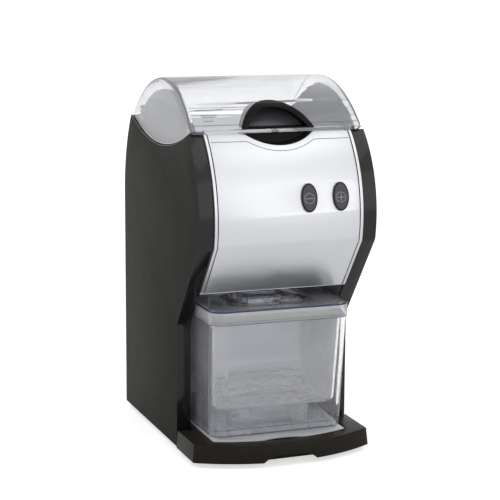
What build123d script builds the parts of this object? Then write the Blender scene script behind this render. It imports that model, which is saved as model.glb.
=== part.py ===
from build123d import *
import os
from math import asin, atan2, cos, degrees, radians, sin, sqrt

# A countertop electric ice crusher. Millimetres, +Z up, +X to the right seen from the front,
# the front faces -Y. The origin lies at the middle of the footprint, on the worktop.

# ---------------------------------------------------------------- casing
body_width = 230.0            # over the two side panels
band_width = 19.0             # glossy edge band of a side panel, seen from the front
panel_wall = 3.0              # wall of the moulded side panels
foot_height = 6.0             # worktop to the underside of the casing
back_y = 164.7                # rearmost face
front_low_y = -62.5           # front of the casing beside the ice bin
low_kink_z = 163.0            # where the front starts to lean forward
high_kink_z = 273.0           # where the lean meets the rounded head
drum_y = -8.5                 # centre of the rounded head's front
drum_z = 301.8
drum_radius = 142.0
front_top_z = 405.0           # front end of the scalloped top edge
back_bend_z = 300.0           # where the back starts to curve forward
back_radius = 189.0
back_top_z = 406.5            # rear end of the scalloped top edge
scallop_low_y = 8.0           # lowest point of the scallop
scallop_low_z = 381.0
kink_round = 16.0             # rounding of the two kinks in the front
sheet = 1.5                   # folded steel covers
fit_gap = 0.3                 # between covers that only lie beside each other

# ---------------------------------------------------------------- chassis
frame_sheet = 2.0             # inner side plates
base_sheet = 2.0
foot_radius = 13.0
foot_inset = 24.0             # foot centre to the edge of the base plate
foot_screw_seat_z = 3.2
boss_radius = 5.0             # moulded screw posts inside the side panels
screw_radius = 2.0
screw_head_radius = 3.6
screw_head_height = 2.2

# ---------------------------------------------------------------- bin niche
niche_back_y = 30.0

# ---------------------------------------------------------------- hopper and lid
hopper_wall = 1.5
mouth_front_y = -94.0
mouth_back_y = 121.0
mouth_z = 403.5               # rim of the hopper, front and back
hopper_half_width = 92.5      # inside the chassis side plates
knee_z = 383.0                # below this height all four hopper walls slope
dome_x = 105.0                # outer face of the domed hopper ends
dome_top_z = 449.0
dome_front_y = -104.0
dome_back_y = 118.0
dome_hem = 3.0
end_screw_inset = 16.0        # from each corner of the dome
end_screw_lift = 8.0
lid_half_width = 113.0
lid_top_half_width = 108.5    # the lid's ends lean in towards the top
lid_wall = 2.5
lid_base_z = 409.0            # front and rear corners of the lid
lid_front_y = -109.5
lid_back_y = 133.0
lid_top_y = 12.0
lid_top_z = 464.5
lid_lift = 1.5                # gap over the scalloped side panels
lid_edge_round = 5.0
lid_hollow_drop = 20.0        # the lid's hollow runs out below its open underside
rail_drop = 3.7               # strip along the lid's front edge, below the lid's corner
rail_height = 4.0
rail_depth = 5.0
rail_stand_out = 1.5
hinge_y = 137.4
hinge_z = 412.0
hinge_pin_radius = 2.0
hinge_barrel_radius = 4.4
hinge_clearance = 0.05
lug_width = 9.0
lug_x = 84.0                  # outer end of each lid lug
bracket_width = 10.0
hinge_side_gap = 0.5

# ---------------------------------------------------------------- grip on the lid
grip_half_width = 47.5
grip_height = 32.0
grip_rim = 7.5
grip_depth = 16.0
grip_flange = 1.5             # how far the grip stands out of the lid
grip_floor = 1.2              # thin edge under the grip's pocket

# ---------------------------------------------------------------- front cover
cover_stand_out = 2.5         # in front of the glossy bands
cover_top_z = 404.8
cover_bottom_z = 209.5
cover_return = 12.0           # folded side edges
scoop_half_width = 47.0       # finger recess under the grip
scoop_bottom_z = 390.3
scoop_back_y = -97.0          # flat back of the finger recess
scoop_wall = 2.0
rear_inset = 1.0              # rear cover inside the edge of the side panels
rear_return = 11.0
rear_top_drop = 3.5           # rear cover's top below the side panels' rear corner
vent_x = 38.0
vent_low_z = 80.0
vent_pitch = 11.0
vent_rows = 8
vent_length = 56.0
vent_height = 4.0
bead_inset = 4.0              # pressed line along the edge of the front cover
bead_width = 1.2
bead_depth = 0.4

# ---------------------------------------------------------------- push buttons
button_z = 329.0
stop_x = 25.0
start_x = 66.3
button_width = 18.0
button_height = 32.0
button_edge_round = 1.0
button_dish_radius = 60.0     # shallow hollow in a button's face
button_dish_depth = 0.8
button_travel = 2.5
button_gap = 0.4
button_stand_out = 2.0
bezel_width = 1.6
bezel_stand_out = 1.0
button_skirt = 6.0
stem_radius = 3.0
stem_clearance = 0.1
stem_length = 12.0
button_leg_gap = 0.5          # button skirt to the legs of its bezel
bezel_leg = 2.2
bezel_lip = 1.5
bezel_lip_depth = 2.0
switch_height = 26.0
switch_depth = 22.0

# ---------------------------------------------------------------- crushing drum
rotor_y = 0.0
rotor_z = 298.0
chamber_radius = 43.0
chamber_wall = 4.0
chamber_half_width = 64.0
chamber_top_z = 334.0
chamber_bottom_z = 254.0
outlet_half_depth = 27.0
blade_radius = 38.0
blade_root_radius = 17.0
blade_thickness = 5.0
blade_pitch = 16.0
blade_count = 7
blade_teeth = 3
blade_step_angle = 17.0
tooth_root_width = 20.0
tooth_tip_width = 9.0
spacer_radius = 13.0
shaft_radius = 10.0
journal_radius = 8.5
comb_tooth_thickness = 5.0
comb_tooth_height = 12.0
comb_tip_gap = 3.0
comb_bar_depth = 4.4

# ---------------------------------------------------------------- ball bearings
bearing_outer_radius = 17.5
bearing_width = 10.0
race_thickness = 2.6
running_clearance = 0.06
housing_wall = 5.0
housing_flange_radius = 33.0
housing_flange = 6.0
bearing_setback = 2.0
seal_width = 6.0
seal_outer_radius = 14.0

# ---------------------------------------------------------------- belt drive
pulley_inset = 2.4            # chassis plate to pulley
pulley_width = 9.0
driven_radius = 48.0
motor_pulley_radius = 18.0
belt_thickness = 3.0
belt_width = 7.0
belt_gap = 0.3

# ---------------------------------------------------------------- motor
motor_y = 96.0
motor_z = 92.0
motor_radius = 55.0
motor_wall = 3.0
fin_count = 20
fin_height = 4.0
fin_thickness = 2.0
motor_left_x = -50.0
motor_right_x = 80.0
bell_length = 14.0
stator_left_x = -25.0
stator_right_x = 55.0
stator_bore_radius = 33.0
air_gap = 0.6
winding_length = 13.0
winding_outer_radius = 50.0
winding_inner_radius = 36.0
motor_shaft_radius = 7.0
motor_bearing_radius = 16.0
motor_bearing_width = 9.0
fan_radius = 44.0
fan_width = 12.0
fan_blades = 8
fan_cowl_wall = 1.5
motor_bolt_circle = 45.0
cradle_width = 16.0
cradle_setback = 6.0

# ---------------------------------------------------------------- chute
spout_y = -41.0
spout_radius = 21.0
spout_bottom_z = 198.5
chute_wall = 2.5
chute_neck_z = 214.0

# ---------------------------------------------------------------- electrics
inlet_x = -60.0
inlet_z = 31.0
inlet_width = 48.0
inlet_height = 28.0
inlet_depth = 22.0
inlet_flange = 1.0
capacitor_radius = 17.0
capacitor_length = 58.0
capacitor_y = 62.0
capacitor_z = 186.0
control_box_size = (40.0, 62.0, 74.0)
control_box_y = 118.0
control_box_z = 236.0
box_wall = 2.0
lid_magnet_size = (9.0, 3.2, 2.6)
lid_sensor_size = (16.0, 4.0, 10.0)

# ---------------------------------------------------------------- ice bin
bin_half_width = 91.5         # over the band at its rim
bin_front_y = -132.0
bin_back_y = 19.5
bin_bottom_z = 28.3
bin_rim_z = 189.5
bin_band_z = 174.0            # lower edge of the band
bin_band_step = 1.2
bin_foot_half_width = 88.0
bin_foot_front_y = -119.0
bin_foot_back_y = 12.0
bin_wall = 2.6
bin_corner = 17.0
basket_gap = 2.2
basket_wall = 2.0
basket_floor_z = 60.0
basket_rim_z = 173.0
basket_skirt_inset = 34.0
drain_slot_length = 12.0
drain_slot_width = 3.0
bin_cover_thickness = 2.0
well_half_width = 54.0
well_front_y = -98.0
well_back_y = 6.0
well_depth = 6.0
well_corner = 22.0
collar_half_width = 29.0
collar_front_y = -84.0
collar_back_y = -6.0
collar_top_z = 195.5
cover_hole_radius = 24.0

# ---------------------------------------------------------------- drip tray
tray_top_z = 28.0
tray_front_y = -164.7
tray_corner_y = -131.5
tray_lift = 0.3               # tray tongue over the base plate
tray_floor = 2.5
tray_draft = 2.0              # the foot of the tray stands out this much
tray_back_y = 26.0
tray_tongue_half_width = 94.5
tray_body_gap = 4.5           # tray shoulders to the front of the side panels
tray_front_rim = 22.0
tray_side_rim = 27.0
notch_half_width = 35.0
notch_top_half_width = 20.0
notch_height = 9.0
grid_thickness = 2.0
grid_end_wall = 6.0           # tray wall behind the grid
grid_gap = 0.5
grid_hole_radius = 2.6
grid_hole_pitch = 15.0
lift_notch_half_width = 30.0
lift_notch_depth = 10.0

# ---------------------------------------------------------------- worked-out places
half_width = body_width / 2
band_x = half_width - band_width
panel_inner_x = half_width - panel_wall
frame_outer_x = band_x + frame_sheet
base_top_z = foot_height + 1.0 + base_sheet
niche_top_z = cover_bottom_z - sheet
mouth_y = (mouth_front_y + mouth_back_y) / 2
back_centre_y = back_y - back_radius
switch_width = button_width + 2 * button_leg_gap
pulley_x = frame_outer_x + pulley_inset
spacer_length = blade_pitch - blade_thickness
tray_shoulder_y = front_low_y - tray_body_gap
rail_low_z = lid_base_z - rail_drop


# ---------------------------------------------------------------- shared shapes
def slab(profile, x_from, x_to):
    """A side-view profile (Y to the right, Z up) carried from x_from to x_to."""
    return Pos(x_from, 0, 0) * extrude(Plane.YZ * profile, x_to - x_from)


def rod_x(radius, x_from, x_to, y, z):
    return slab(Pos(y, z) * Circle(radius), x_from, x_to)


def tube_x(outer, inner, x_from, x_to, y, z):
    return slab(Pos(y, z) * (Circle(outer) - Circle(inner)), x_from, x_to)


def box_between(low, high):
    size = [b - a for a, b in zip(low, high)]
    centre = [(a + b) / 2 for a, b in zip(low, high)]
    return Pos(*centre) * Box(*size)


def mirrored(shape):
    return mirror(shape, about=Plane.YZ)


def on_circle(centre_y, centre_z, radius, z, side):
    """The point of a circle at height z, in front of (-1) or behind (+1) its centre."""
    return (centre_y + side * sqrt(radius ** 2 - (z - centre_z) ** 2), z)


def hex_screw(head_at, direction, length):
    """A screw whose head's seat lies at head_at and whose shank runs along direction."""
    seat = Plane(origin=head_at, z_dir=direction)
    shank = extrude(seat * Circle(screw_radius), length)
    cap = extrude(seat * Circle(screw_head_radius), -screw_head_height)
    socket_face = seat.offset(-screw_head_height) * RegularPolygon(screw_head_radius * 0.5, 6)
    return shank + (cap - extrude(socket_face, screw_head_height / 2))


# ---------------------------------------------------------------- side view of the casing
def casing_profile(inset=0.0):
    """The side view of a side panel, moved inward by inset."""
    drum = drum_radius - inset
    back = back_radius - inset
    low = foot_height + inset
    rear = back_y - inset
    back_top = on_circle(back_centre_y, back_bend_z, back, back_top_z - inset, 1)
    front_top = on_circle(drum_y, drum_z, drum, front_top_z - inset, -1)
    high_kink = on_circle(drum_y, drum_z, drum, high_kink_z, -1)
    back_mid = on_circle(back_centre_y, back_bend_z, back, (back_bend_z + back_top[1]) / 2, 1)
    drum_mid = on_circle(drum_y, drum_z, drum, (high_kink_z + front_top[1]) / 2, -1)
    low_kink = (front_low_y + inset, low_kink_z)
    outline = (
        Line((front_low_y + inset, low), (rear, low))
        + Line((rear, low), (rear, back_bend_z))
        + ThreePointArc((rear, back_bend_z), back_mid, back_top)
        + ThreePointArc(back_top, (scallop_low_y, scallop_low_z - inset), front_top)
        + ThreePointArc(front_top, drum_mid, high_kink)
        + Line(high_kink, low_kink)
        + Line(low_kink, (front_low_y + inset, low))
    )
    face = make_face(outline)
    kinks = [v for v in face.vertices() if (Vector(v.X, v.Y) - Vector(*high_kink)).length < 0.01
             or (Vector(v.X, v.Y) - Vector(*low_kink)).length < 0.01]
    return fillet(kinks, kink_round)


def boss_places():
    """Side-view places of the screw posts that join a side panel to its chassis plate."""
    return [(back_y - 18, foot_height + 20), (back_y - 18, back_bend_z - 12), (95.0, 362.0),
            (-80.0, 362.0), (drum_y - drum_radius + 22, high_kink_z + 20),
            (front_low_y + 18, foot_height + 40)]


def make_side_panel():
    """The right-hand side panel: a moulded tray with an edge band, open towards the inside."""
    shell = slab(casing_profile(), band_x, half_width)
    hollow = slab(casing_profile(panel_wall), band_x - 1, panel_inner_x)
    panel = shell - hollow
    for y, z in boss_places():
        post = rod_x(boss_radius, frame_outer_x, panel_inner_x, y, z)
        panel += post - rod_x(screw_radius, frame_outer_x - 1, panel_inner_x - 2, y, z)
    return panel


def make_frame_plate(shaft_holes):
    """A flat steel chassis plate that closes the inner side of a side panel."""
    plate = slab(casing_profile(panel_wall + fit_gap), band_x, frame_outer_x)
    for y, z in boss_places():
        plate -= rod_x(screw_radius, band_x - 1, frame_outer_x + 1, y, z)
    if shaft_holes:
        plate -= rod_x(journal_radius + 3, band_x - 1, frame_outer_x + 1, rotor_y, rotor_z)
        plate -= rod_x(motor_shaft_radius + 3, band_x - 1, frame_outer_x + 1, motor_y, motor_z)
        for y, z in motor_bolt_places():
            plate -= rod_x(screw_radius, band_x - 1, frame_outer_x + 1, y, z)
    for y, z in housing_screw_places():
        plate -= rod_x(screw_radius, band_x - 1, frame_outer_x + 1, y, z)
    return plate


def make_panel_screws():
    screws = []
    for y, z in boss_places():
        head = (band_x, y, z)
        right = hex_screw(head, (1, 0, 0), frame_sheet + 8)
        screws += [right, mirrored(right)]
    return screws


# ---------------------------------------------------------------- base, feet, niche
def foot_places():
    x = band_x - foot_inset
    rows = (front_low_y + foot_inset + 6, back_y - foot_inset - 6)
    return [(side * x, y) for side in (-1, 1) for y in rows]


def make_base_plate():
    low = (-band_x, front_low_y + panel_wall + fit_gap, base_top_z - base_sheet)
    high = (band_x, back_y - panel_wall - fit_gap, base_top_z)
    plate = box_between(low, high)
    for x, y in foot_places():
        plate -= Pos(x, y, base_top_z) * Cylinder(screw_radius, 3 * base_sheet)
    for row in range(7):
        slot_y = motor_y - 36 + 12 * row
        plate -= extrude(Pos(0, slot_y, base_top_z - 2 * base_sheet) * SlotOverall(70, 4), 3 * base_sheet)
    return plate


def make_feet():
    feet = []
    height = base_top_z - base_sheet
    for x, y in foot_places():
        foot = Pos(x, y, height / 2) * Cylinder(foot_radius, height)
        foot = chamfer(foot.faces().sort_by(Axis.Z)[0].edges(), 1.0)
        bore = Pos(x, y, height / 2) * Cylinder(screw_radius, height)
        recess = Pos(x, y, 0) * Cylinder(screw_head_radius + 0.4, 2 * foot_screw_seat_z)
        feet.append(foot - bore - recess)
    return feet


def make_foot_screws():
    length = base_top_z - foot_screw_seat_z
    return [hex_screw((x, y, foot_screw_seat_z), (0, 0, 1), length) for x, y in foot_places()]


def make_niche_liner():
    """One folded sheet: the ceiling over the bin and the wall behind it."""
    front = front_cover_point(cover_bottom_z)[0] + 2 * sheet
    corner = (band_x, niche_back_y + sheet, niche_top_z + sheet)
    ceiling = box_between((-band_x, front, niche_top_z), corner)
    wall = box_between((-band_x, niche_back_y, base_top_z), corner)
    hole = Pos(0, spout_y, niche_top_z) * Cylinder(spout_radius + fit_gap, 6 * sheet)
    return ceiling + wall - hole


# ---------------------------------------------------------------- front and rear covers
def front_cover_point(z, offset=None):
    """The point of the front cover's outer face at height z."""
    reach = cover_stand_out if offset is None else offset
    if z >= high_kink_z:
        return on_circle(drum_y, drum_z, drum_radius + reach, z, -1)
    kink = on_circle(drum_y, drum_z, drum_radius, high_kink_z, -1)
    lean = (front_low_y - kink[0]) / (high_kink_z - low_kink_z)
    across = reach * sqrt(1 + lean ** 2)
    return (kink[0] + lean * (high_kink_z - z) - across, z)


def cover_profile(outer, inner):
    """The strip between two offsets of the casing's front line."""
    top_out = front_cover_point(cover_top_z, outer)
    top_in = on_circle(drum_y, drum_z, drum_radius + inner, cover_top_z, -1)
    fold_out = front_cover_point(high_kink_z, outer)
    fold_in = front_cover_point(high_kink_z, inner)
    mid_z = (high_kink_z + cover_top_z) / 2
    bottom_out = front_cover_point(cover_bottom_z, outer)
    bottom_in = front_cover_point(cover_bottom_z, inner)
    lower_fold_z = high_kink_z - 0.01
    fold_low_out = front_cover_point(lower_fold_z, outer)
    fold_low_in = front_cover_point(lower_fold_z, inner)
    corner_out = ((fold_out[0] + fold_low_out[0]) / 2, high_kink_z)
    corner_in = ((fold_in[0] + fold_low_in[0]) / 2, high_kink_z)
    outline = (
        ThreePointArc(top_out, front_cover_point(mid_z, outer), corner_out)
        + Line(corner_out, bottom_out) + Line(bottom_out, bottom_in) + Line(bottom_in, corner_in)
        + ThreePointArc(corner_in, front_cover_point(mid_z, inner), top_in)
        + Line(top_in, top_out)
    )
    return make_face(outline)


def button_plane(x):
    """The plane of the cover's outer face at a button, its normal pointing out of the face."""
    y, z = front_cover_point(button_z)
    normal = Vector(0, y - drum_y, z - drum_z)
    return Plane(origin=(x, y, z), x_dir=(1, 0, 0), z_dir=normal)


def oval(width, height):
    return Ellipse(width / 2, height / 2)


def scoop_prism(margin, rear_y):
    """The half-moon finger recess, seen from the front, carried back to rear_y."""
    top = cover_top_z + 1
    half = scoop_half_width + margin
    arc = ThreePointArc((-half, top), (0, scoop_bottom_z - margin), (half, top))
    moon = make_face(arc + Line((half, top), (-half, top)))
    front_y = drum_y - drum_radius
    return Pos(0, front_y, 0) * extrude(Plane.XZ * moon, front_y - rear_y)


def make_front_cover():
    """The brushed steel front: a rolled head, a fold and returned side edges."""
    half = band_x - fit_gap
    skin = slab(cover_profile(cover_stand_out, cover_stand_out - sheet), -half, half)
    edge = slab(cover_profile(cover_stand_out, cover_stand_out - cover_return), half - sheet, half)
    bottom_y = front_cover_point(cover_bottom_z)[0]
    lip = box_between((-half, bottom_y + sheet, cover_bottom_z),
                      (half, bottom_y + cover_return, cover_bottom_z + sheet))
    cover = skin + edge + mirrored(edge) + lip - dish_solid(-half - 1, half + 1, -fit_gap)
    for x in (stop_x, start_x):
        hole = oval(button_width + 2 * bezel_width, button_height + 2 * bezel_width)
        cover -= extrude(button_plane(x).offset(cover_return) * hole, -2 * cover_return)
    cover -= scoop_prism(0, scoop_back_y)
    bead = slab(cover_profile(cover_stand_out + 1, cover_stand_out - bead_depth), 0, bead_width)
    for side in (-1, 1):
        x = side * (half - bead_inset) - bead_width / 2
        cover -= Pos(x, 0, 0) * bead
    return cover


def make_finger_recess():
    """A black scoop behind the half-moon opening in the front cover."""
    behind_cover = rod_x(drum_radius + cover_stand_out - sheet - fit_gap, -band_x, band_x, drum_y, drum_z)
    under_lid = box_between((-band_x, -back_y, 0), (band_x, 0, cover_top_z))
    body = scoop_prism(scoop_wall, scoop_back_y + scoop_wall) & behind_cover & under_lid
    return body - scoop_prism(-fit_gap, scoop_back_y)


def vent_places():
    return [(side * vent_x, vent_low_z + vent_pitch * row) for side in (-1, 1) for row in range(vent_rows)]


def rear_point(z, inset):
    """The point at height z on the rounded back, moved inward by inset."""
    return on_circle(back_centre_y, back_bend_z, back_radius - inset, z, 1)


def rear_profile(outer, inner):
    """The strip between two insets of the casing's rear line."""
    top_z = back_top_z - rear_top_drop
    mid_z = (back_bend_z + top_z) / 2
    low_out, low_in = (back_y - outer, base_top_z), (back_y - inner, base_top_z)
    bend_out, bend_in = (back_y - outer, back_bend_z), (back_y - inner, back_bend_z)
    top_out, top_in = rear_point(top_z, outer), rear_point(top_z, inner)
    outline = (
        Line(low_out, bend_out) + ThreePointArc(bend_out, rear_point(mid_z, outer), top_out)
        + Line(top_out, top_in) + ThreePointArc(top_in, rear_point(mid_z, inner), bend_in)
        + Line(bend_in, low_in) + Line(low_in, low_out)
    )
    return make_face(outline)


def make_rear_cover():
    """The rear sheet with its vents, inlet cut-out and returned side edges."""
    half = band_x - fit_gap
    skin = slab(rear_profile(rear_inset, rear_inset + sheet), -half, half)
    edge = slab(rear_profile(rear_inset, rear_inset + rear_return), half - sheet, half)
    cover = skin + edge + mirrored(edge)
    for x, z in vent_places():
        seat = Plane(origin=(x, back_y - 8, z), x_dir=(1, 0, 0), z_dir=(0, 1, 0))
        cover -= extrude(seat * SlotOverall(vent_length, vent_height), 12)
    for place in hinge_screw_places():
        cover -= extrude(Plane(origin=place, z_dir=(0, -1, 0)) * Circle(screw_radius), 20)
    hole = box_between((inlet_x - inlet_width / 2 + 4, back_y - 6, inlet_z - inlet_height / 2 + 3),
                       (inlet_x + inlet_width / 2 - 4, back_y + 1, inlet_z + inlet_height / 2 - 3))
    return cover - hole


# ---------------------------------------------------------------- hopper
def mouth_section(z, half_x, front, back):
    return Pos(0, (front + back) / 2, z) * Rectangle(2 * half_x, back - front)


def hopper_solid(shrink):
    """The space inside the hopper's outer skin, or inside its walls when shrunk by them."""
    throat = chamber_radius + chamber_wall - shrink
    top_x = hopper_half_width - shrink
    slope = (mouth_back_y - mouth_y - throat - shrink) / (mouth_z - chamber_top_z)
    knee_reach = throat + slope * (knee_z - chamber_top_z)
    knee_shift = rotor_y + (mouth_y - rotor_y) * (knee_z - chamber_top_z) / (mouth_z - chamber_top_z)
    throat_x = chamber_half_width - shrink
    throat_face = mouth_section(chamber_top_z, throat_x, rotor_y - throat, rotor_y + throat)
    knee_face = mouth_section(knee_z, top_x, knee_shift - knee_reach, knee_shift + knee_reach)
    top_face = mouth_section(mouth_z, top_x, mouth_front_y + shrink, mouth_back_y - shrink)
    return loft([throat_face, knee_face], ruled=True) + loft([knee_face, top_face], ruled=True)


def make_hopper():
    """The four-sided stainless funnel with a rim in front and behind."""
    funnel = hopper_solid(0) - hopper_solid(hopper_wall)
    front_y = front_cover_point(mouth_z, cover_stand_out - sheet)[0] + fit_gap
    back_rim_y = rear_point(mouth_z, rear_inset + sheet)[0] - fit_gap
    rim_front = box_between((-hopper_half_width, front_y, mouth_z - hopper_wall),
                            (hopper_half_width, mouth_front_y + hopper_wall, mouth_z))
    rim_back = box_between((-hopper_half_width, mouth_back_y - hopper_wall, mouth_z - hopper_wall),
                           (hopper_half_width, back_rim_y, mouth_z))
    recess = scoop_prism(scoop_wall + fit_gap, scoop_back_y + scoop_wall + fit_gap)
    shell = funnel + rim_front + rim_back - recess
    end_seat = dish_solid(hopper_half_width - hopper_wall, hopper_half_width + 1, 0)
    return shell - end_seat - mirrored(end_seat)


def scallop_point(y, lift):
    """The point at y on the scalloped top edge of the side panels, raised by lift."""
    back = on_circle(back_centre_y, back_bend_z, back_radius, back_top_z, 1)
    front = on_circle(drum_y, drum_z, drum_radius, front_top_z, -1)
    arc = ThreePointArc(back, (scallop_low_y, scallop_low_z), front)
    return on_arc(arc, y, lift)


def on_arc(arc, y, lift):
    return (y, arc.arc_center.Y - sqrt(arc.radius ** 2 - (y - arc.arc_center.X) ** 2) + lift)


def dome_profile(shrink):
    """The lens between the hopper end's dome and the scallop below it."""
    lift = fit_gap + shrink
    back = scallop_point(dome_back_y - shrink, lift)
    front = scallop_point(dome_front_y + shrink, lift)
    top = ((dome_back_y + dome_front_y) / 2, dome_top_z - shrink)
    low = scallop_point(scallop_low_y, lift)
    return make_face(ThreePointArc(back, top, front) + ThreePointArc(front, low, back))


def dish_solid(x_from, x_to, shrink):
    return slab(dome_profile(shrink), x_from, x_to)


def make_hopper_end():
    """The right-hand domed end: a plate with a hem along the dome and a ledge over the side panel."""
    inner_x = hopper_half_width - hopper_wall
    dish = dish_solid(inner_x, dome_x, 0)
    hollow = dish_solid(inner_x - 1, dome_x - hopper_wall, hopper_wall)
    front = scallop_point(dome_front_y, 2 * hopper_wall)
    back = scallop_point(dome_back_y, 2 * hopper_wall)
    above_ledge = make_face(Polyline(front, back, (dome_back_y, lid_top_z), (dome_front_y, lid_top_z),
                                     close=True))
    end = dish - hollow - slab(above_ledge, inner_x - 1, dome_x - dome_hem)
    for y, z in hopper_screw_places():
        end -= rod_x(screw_radius, inner_x, dome_x + 1, y, z)
    return end


# ---------------------------------------------------------------- lid
def lid_lens(shrink, drop):
    """The lid's side view: a dome over the scallop. drop lowers the open underside."""
    back = (lid_back_y - shrink * 1.3, lid_base_z)
    front = (lid_front_y + shrink * 1.3, lid_base_z)
    top = (lid_top_y, lid_top_z - shrink)
    under = (scallop_low_y, scallop_low_z + lid_lift - drop)
    return make_face(ThreePointArc(back, top, front) + ThreePointArc(front, under, back))


def lid_block(shrink, drop):
    half = lid_half_width - shrink
    block = slab(lid_lens(shrink, drop), -half, half)
    lean = degrees(atan2(lid_half_width - lid_top_half_width, lid_top_z - lid_base_z))
    for side in (-1, 1):
        leaning = Pos(side * half, 0, lid_base_z) * Rot(0, -side * lean, 0)
        wedge = leaning * Pos(side * 50, 0, 0) * Box(100, 400, 400)
        low = box_between((-200, -400, 0), (200, 400, lid_base_z))
        block -= wedge - low
    return block


def rounded_lid_block():
    block = lid_block(0, 0)
    rims = [e for e in block.edges() if e.center().Z > lid_base_z + 10
            and abs(e.center().X) > lid_top_half_width - 12 and e.length > 100]
    return fillet(rims, lid_edge_round)


def moon_prism(margin, front, back):
    """The grip's half-moon outline, seen from the front, carried from front to back."""
    half = grip_half_width + margin
    base = lid_base_z
    arc = ThreePointArc((-half, base), (0, base + grip_height + margin), (half, base))
    moon = make_face(arc + Line((half, base), (-half, base)))
    return Pos(0, front, 0) * extrude(Plane.XZ * moon, front - back)


def hinge_lug(x_from):
    """One clear hinge lug behind the lid, bored for the pin."""
    barrel = Pos(hinge_y, hinge_z) * Circle(hinge_barrel_radius)
    web = make_face(Polyline((hinge_y, hinge_z + hinge_barrel_radius), (lid_back_y - 9, lid_base_z + 9),
                             (lid_back_y - 2, lid_base_z + 0.6),
                             (hinge_y - 2, hinge_z - hinge_barrel_radius * 0.8), close=True))
    bore = rod_x(hinge_pin_radius + hinge_clearance, x_from - 1, x_from + lug_width + 1, hinge_y, hinge_z)
    return slab(barrel + web, x_from, x_from + lug_width) - bore


def make_lid_shell():
    """The clear domed lid with its front strip, its hinge lugs and the opening for the grip."""
    shell = rounded_lid_block() - lid_block(lid_wall, lid_hollow_drop)
    rail_half = band_x - fit_gap
    rail_y = lid_front_y - rail_stand_out
    rail = box_between((-rail_half, rail_y, rail_low_z),
                       (rail_half, rail_y + rail_depth, rail_low_z + rail_height))
    lugs = hinge_lug(lug_x - lug_width) + hinge_lug(-lug_x)
    lugs -= lid_block(lid_wall, lid_hollow_drop)
    inner_half = lid_half_width - lid_wall
    below = box_between((-inner_half, -back_y, 0), (inner_half, lid_back_y + 1, lid_base_z - 0.5))
    shell = (shell - below) + rail + lugs
    shell -= moon_prism(-grip_rim / 2, -lid_half_width - 10, 0) - rail
    magnet = box_between(*magnet_box(fit_gap / 3))
    return shell - magnet


def magnet_box(margin):
    """Corners of the magnet set into the middle of the lid's front strip."""
    width, depth, height = lid_magnet_size
    x = -3.5
    y = lid_front_y - rail_stand_out + 1.0
    z = rail_low_z
    return ((x - width / 2 - margin, y - margin, z - margin),
            (x + width / 2 + margin, y + depth + margin, z + height))


def lid_roof_band(outer, inner):
    """The curved layer between two offsets of the lid's roof, outer standing out of it."""
    half = grip_half_width + 10
    return slab(lid_lens(-outer, 60), -half, half) - slab(lid_lens(inner, 80), -half - 1, half + 1)


def make_lid_grip():
    """The black half-moon pocket set into the lid: a rim over the lid, walls and a sunk back."""
    deep = -lid_half_width - 10
    floor_z = rail_low_z + rail_height + fit_gap
    above_rail = box_between((-half_width, deep, floor_z), (half_width, 0, lid_top_z))
    above_floor = box_between((-half_width, deep, floor_z + grip_floor), (half_width, 0, lid_top_z))
    rim = moon_prism(0, deep, 0) & lid_roof_band(grip_flange, -fit_gap)
    cup = moon_prism(-grip_rim / 2 - fit_gap, deep, 0) & lid_roof_band(grip_flange, grip_depth)
    pocket = moon_prism(-grip_rim, deep, 0) & lid_roof_band(grip_flange + 3, grip_depth - 2)
    return ((rim + cup) & above_rail) - (pocket & above_floor)


# ---------------------------------------------------------------- lid hinge
def make_hinge_pin():
    length = 2 * (lug_x + hinge_side_gap + bracket_width)
    pin = rod_x(hinge_pin_radius, -length / 2, length / 2, hinge_y, hinge_z)
    head = rod_x(hinge_pin_radius * 1.7, length / 2, length / 2 + hinge_pin_radius, hinge_y, hinge_z)
    head = fillet(head.edges().sort_by(Axis.X)[-1], hinge_pin_radius * 0.8)
    return pin + head + mirrored(head)


def make_hinge_bracket(x_from):
    """A bracket that stands off the rear cover and holds one end of the pin."""
    barrel = Pos(hinge_y, hinge_z) * Circle(hinge_barrel_radius)
    front = hinge_y - hinge_barrel_radius * 0.5
    rear = hinge_y + hinge_barrel_radius
    foot_z = hinge_z - 24
    leg = make_face(Polyline((front, hinge_z - hinge_barrel_radius * 0.8), (front, foot_z), (rear, foot_z),
                             (rear, hinge_z), (hinge_y, hinge_z), close=True))
    block = slab(barrel + leg, x_from, x_from + bracket_width)
    block -= slab(casing_profile(rear_inset), x_from - 1, x_from + bracket_width + 1)
    for place in hinge_screw_places():
        block -= extrude(Plane(origin=place, z_dir=(0, -1, 0)) * Circle(screw_radius), 20)
    return block - rod_x(hinge_pin_radius, x_from - 1, x_from + bracket_width + 1, hinge_y, hinge_z)


def hinge_screw_places():
    """Where the heads of the bracket screws sit, on the brackets' rear faces."""
    x = lug_x + hinge_side_gap + bracket_width / 2
    return [(side * x, hinge_y + hinge_barrel_radius, hinge_z - 19) for side in (-1, 1)]


# ---------------------------------------------------------------- buttons
def place_on_cover(shape, x):
    """Move a shape built with -Z pointing into the machine onto the front cover at x."""
    return button_plane(x).location * shape


def make_button(x):
    """A push button: its face, its skirt and the stem that works the switch."""
    face = extrude(oval(button_width, button_height), button_stand_out + sheet)
    face = fillet(face.faces().sort_by(Axis.Z)[-1].edges(), button_edge_round)
    body = Pos(0, 0, -sheet) * face
    skirt = Pos(0, 0, -sheet - button_skirt) * extrude(oval(button_width, button_height), button_skirt)
    stem = Pos(0, 0, -sheet - button_skirt - stem_length) * extrude(Circle(stem_radius), stem_length)
    dish = Pos(0, 0, button_stand_out - button_dish_depth + button_dish_radius) * Sphere(button_dish_radius)
    return place_on_cover((body + skirt + stem) - dish, x)


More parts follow.
